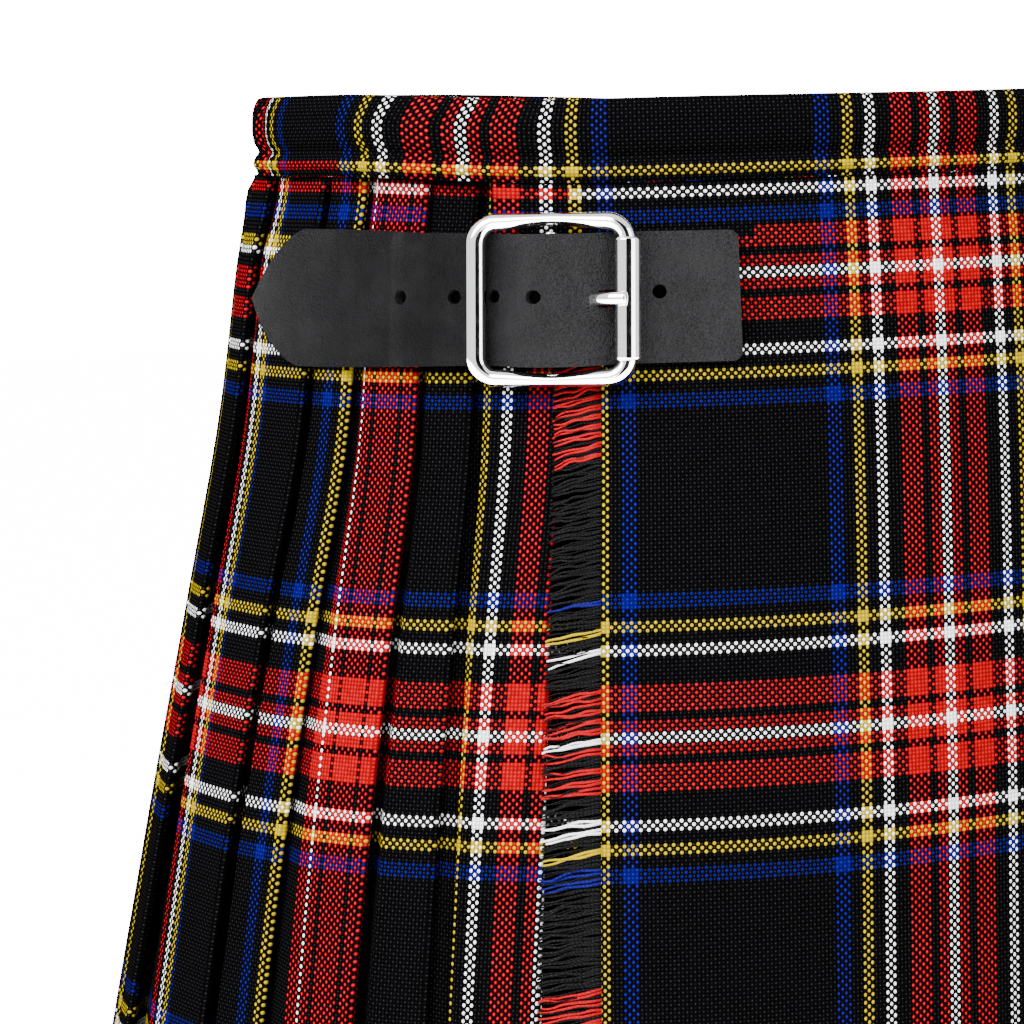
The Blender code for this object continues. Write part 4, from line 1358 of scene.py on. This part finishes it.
class KiltStudio(bpy.types.PropertyGroup):
    """Camera, lights and floor"""

    turn: setting("Turn", "Turn of the waist that the camera faces", 58.0)
    distance: length_setting("Distance", "From the cloth to the camera", 0.948)
    height: length_setting("Height", "Camera above the waist's middle", 0.0487)
    lens: setting("Lens", "Focal length in millimetres", 138.16)
    tilt: setting("Tilt", "How far the camera looks down", 5.99)
    yaw: setting("Yaw", "How far the camera looks to the side", 2.05)
    roll: setting("Roll", "The camera's roll", 1.805)
    floor: length_setting("Floor", "Height of the floor", HEM - 0.002)
    key: setting("Key light", "Power of the main light in watts", 118.0)
    fill: setting("Fill light", "Power of the second light in watts", 46.0)
    sky: setting("Sky", "Strength of the light from all round", 1.8)
    mirrored: setting("Mirrored sky", "Brightness of the room in the plate", 1.8)
    backdrop: setting("Backdrop", "Brightness of the room behind the kilt", 17.0)
    glow: setting("Floor glow", "Light from under the floor's paper", 14.0)


# ---- studio ----
def facing(turn):
    """The waist's point at a turn, and the axes of a camera that faces it: right, up and away."""
    point, out = ring(turn)
    right = (math.cos(math.radians(turn)), -math.sin(math.radians(turn)), 0)
    return point.to_3d(), Matrix((right, UP, out.to_3d())).transposed()


def set_stage(name, mesh, maker):
    """The mesh as an object of the studio, which throws no colour on the kilt."""
    made = new_object(name, mesh, finish_of(maker))
    made.visible_diffuse = False
    return made


def lay_floor(studio):
    mesh = bmesh.new()
    bmesh.ops.create_circle(mesh, cap_ends=True, segments=96, radius=FLOOR_RADIUS)
    bmesh.ops.translate(mesh, verts=mesh.verts, vec=(0, 0, studio.floor))
    set_stage("studio_floor", mesh, pale_studio_paper)


def light_room(studio):
    """The white room looks brighter to the camera than its light on the kilt is."""
    world = bpy.data.worlds.new("studio light")
    bpy.context.scene.world = world
    world.use_nodes = True
    add = functools.partial(add_node, world.node_tree)
    rays = add("LightPath").outputs
    mirrored = add("MapRange", {0: rays["Is Glossy Ray"], 3: studio.sky, 4: studio.mirrored})
    strength = add("MapRange", {0: rays["Is Camera Ray"], 3: mirrored, 4: studio.backdrop})
    fill(world.node_tree.nodes["Background"], {"Color": (1, 1, 1, 1), "Strength": strength})


def hang_lamp(name, studio, power):
    """A soft box that looks at the waist, just under the strap."""
    spot, (wide, tall) = LAMPS[name]
    base, axes = facing(studio.turn)
    spot = base + axes @ Vector(spot)
    light = bpy.data.lights.new(name, "AREA")
    light.shape = "RECTANGLE"
    light.size, light.size_y = wide, tall
    light.energy = power
    lamp = bpy.data.objects.new(name, light)
    aim = (base - UP * LAMPS_LOWER - spot).to_track_quat("-Z", "Y")
    lamp.matrix_world = Matrix.Translation(spot) @ aim.to_matrix().to_4x4()
    bpy.context.scene.collection.objects.link(lamp)


def stand_card(studio):
    """A dark card behind the camera, which only the polished plate picks up."""
    base, axes = facing(studio.turn)
    left, right = (math.tan(math.radians(angle)) * CARD_FAR for angle in CARD_ANGLES)
    mesh = bmesh.new()
    bmesh.ops.create_grid(mesh, x_segments=1, y_segments=1, size=0.5)
    bmesh.ops.scale(mesh, vec=(right - left, CARD_TALL, 1), verts=mesh.verts)
    middle = base + axes @ Vector(((left + right) / 2, 0, CARD_FAR))
    mesh.transform(Matrix.Translation(middle) @ axes.to_4x4())
    card = set_stage("dark_card", mesh, black_flocked_card)
    card.visible_camera = card.visible_shadow = False


def aim_camera(studio):
    """A camera that faces the waist, turned to the side, down and then askew."""
    base, axes = facing(studio.turn)
    camera = bpy.data.cameras.new("camera")
    camera.lens = studio.lens
    camera.sensor_width = 36.0
    camera.clip_start = 0.01
    eye = bpy.data.objects.new("camera", camera)
    spot = base + axes @ Vector((0, studio.height, studio.distance))
    eye.matrix_world = Matrix.Translation(spot) @ axes.to_4x4()
    for angle, axis in ((studio.yaw, "Y"), (-studio.tilt, "X"), (-studio.roll, "Z")):
        eye.matrix_world @= Matrix.Rotation(math.radians(angle), 4, axis)
    bpy.context.scene.collection.objects.link(eye)
    bpy.context.scene.camera = eye


# ---- operators ----
class KILT_OT_waistband(bpy.types.Operator):
    """Sews the tall waistband"""

    bl_idname = "kilt.waistband"
    bl_label = "Waistband"

    def execute(self, context):
        waistband()
        return {"FINISHED"}


class KILT_OT_aprons(bpy.types.Operator):
    """Hangs the over apron and the under apron"""

    bl_idname = "kilt.aprons"
    bl_label = "Aprons"

    def execute(self, context):
        over_apron()
        under_apron()
        return {"FINISHED"}


class KILT_OT_pleats(bpy.types.Operator):
    """Folds the pleats round the hips and the back"""

    bl_idname = "kilt.pleats"
    bl_label = "Pleats"

    def execute(self, context):
        found = folds()
        found.append(found[-1] + APRON_HIDDEN / HIDDEN)
        found.append(found[-1] + APRON_HIDDEN)
        start, seam = 0, UNDER_SEAM
        for name, count in PLEAT_NODES:
            stop = min(start + count, len(found) - 3)
            made = pleat_length(name, start, stop, found, seam)
            start, seam = stop, None
        return {"FINISHED"}


class KILT_OT_fringe(bpy.types.Operator):
    """Draws out the fringe of the over apron"""

    bl_idname = "kilt.fringe"
    bl_label = "Fringe"

    def execute(self, context):
        fringe()
        return {"FINISHED"}


class KILT_OT_strap(bpy.types.Operator):
    """Cuts the strap and the buckle's leather tab"""

    bl_idname = "kilt.strap"
    bl_label = "Strap"

    def execute(self, context):
        strap()
        hole_floors()
        buckle_tab()
        return {"FINISHED"}


class KILT_OT_buckle(bpy.types.Operator):
    """Makes the buckle: frame, centre bar, roller and prong"""

    bl_idname = "kilt.buckle"
    bl_label = "Buckle"

    def execute(self, context):
        frame_wire()
        centre_bar()
        roller()
        prong()
        return {"FINISHED"}


class KILT_OT_studio(bpy.types.Operator):
    """Sets the floor, the lights and the camera"""

    bl_idname = "kilt.studio"
    bl_label = "Studio"

    def execute(self, context):
        studio = context.scene.kilt_studio
        lay_floor(studio)
        light_room(studio)
        hang_lamp("key_light", studio, studio.key)
        hang_lamp("fill_light", studio, studio.fill)
        stand_card(studio)
        aim_camera(studio)
        return {"FINISHED"}


MAKERS = (
    KILT_OT_studio, KILT_OT_waistband, KILT_OT_aprons, KILT_OT_pleats, KILT_OT_fringe, KILT_OT_strap,
    KILT_OT_buckle,
)


class KILT_PT_makers(bpy.types.Panel):
    """Lists the kilt's pieces"""

    bl_idname = "KILT_PT_makers"
    bl_label = "Kilt"
    bl_space_type = "VIEW_3D"
    bl_region_type = "UI"
    bl_category = "Kilt"

    def draw(self, context):
        for maker in MAKERS:
            self.layout.operator(maker.bl_idname)


CLASSES = (KiltLooks, KiltStudio, *MAKERS, KILT_PT_makers)


def register():
    for each in CLASSES:
        bpy.utils.register_class(each)
    bpy.types.Scene.kilt = PointerProperty(type=KiltLooks)
    bpy.types.Scene.kilt_studio = PointerProperty(type=KiltStudio)


def unregister():
    del bpy.types.Scene.kilt_studio
    del bpy.types.Scene.kilt
    for each in reversed(CLASSES):
        bpy.utils.unregister_class(each)


def main():
    register()
    bpy.ops.kilt.studio()
    bpy.ops.kilt.waistband()
    bpy.ops.kilt.aprons()
    bpy.ops.kilt.pleats()
    bpy.ops.kilt.fringe()
    bpy.ops.kilt.strap()
    bpy.ops.kilt.buckle()


if __name__ == "__main__":
    main()
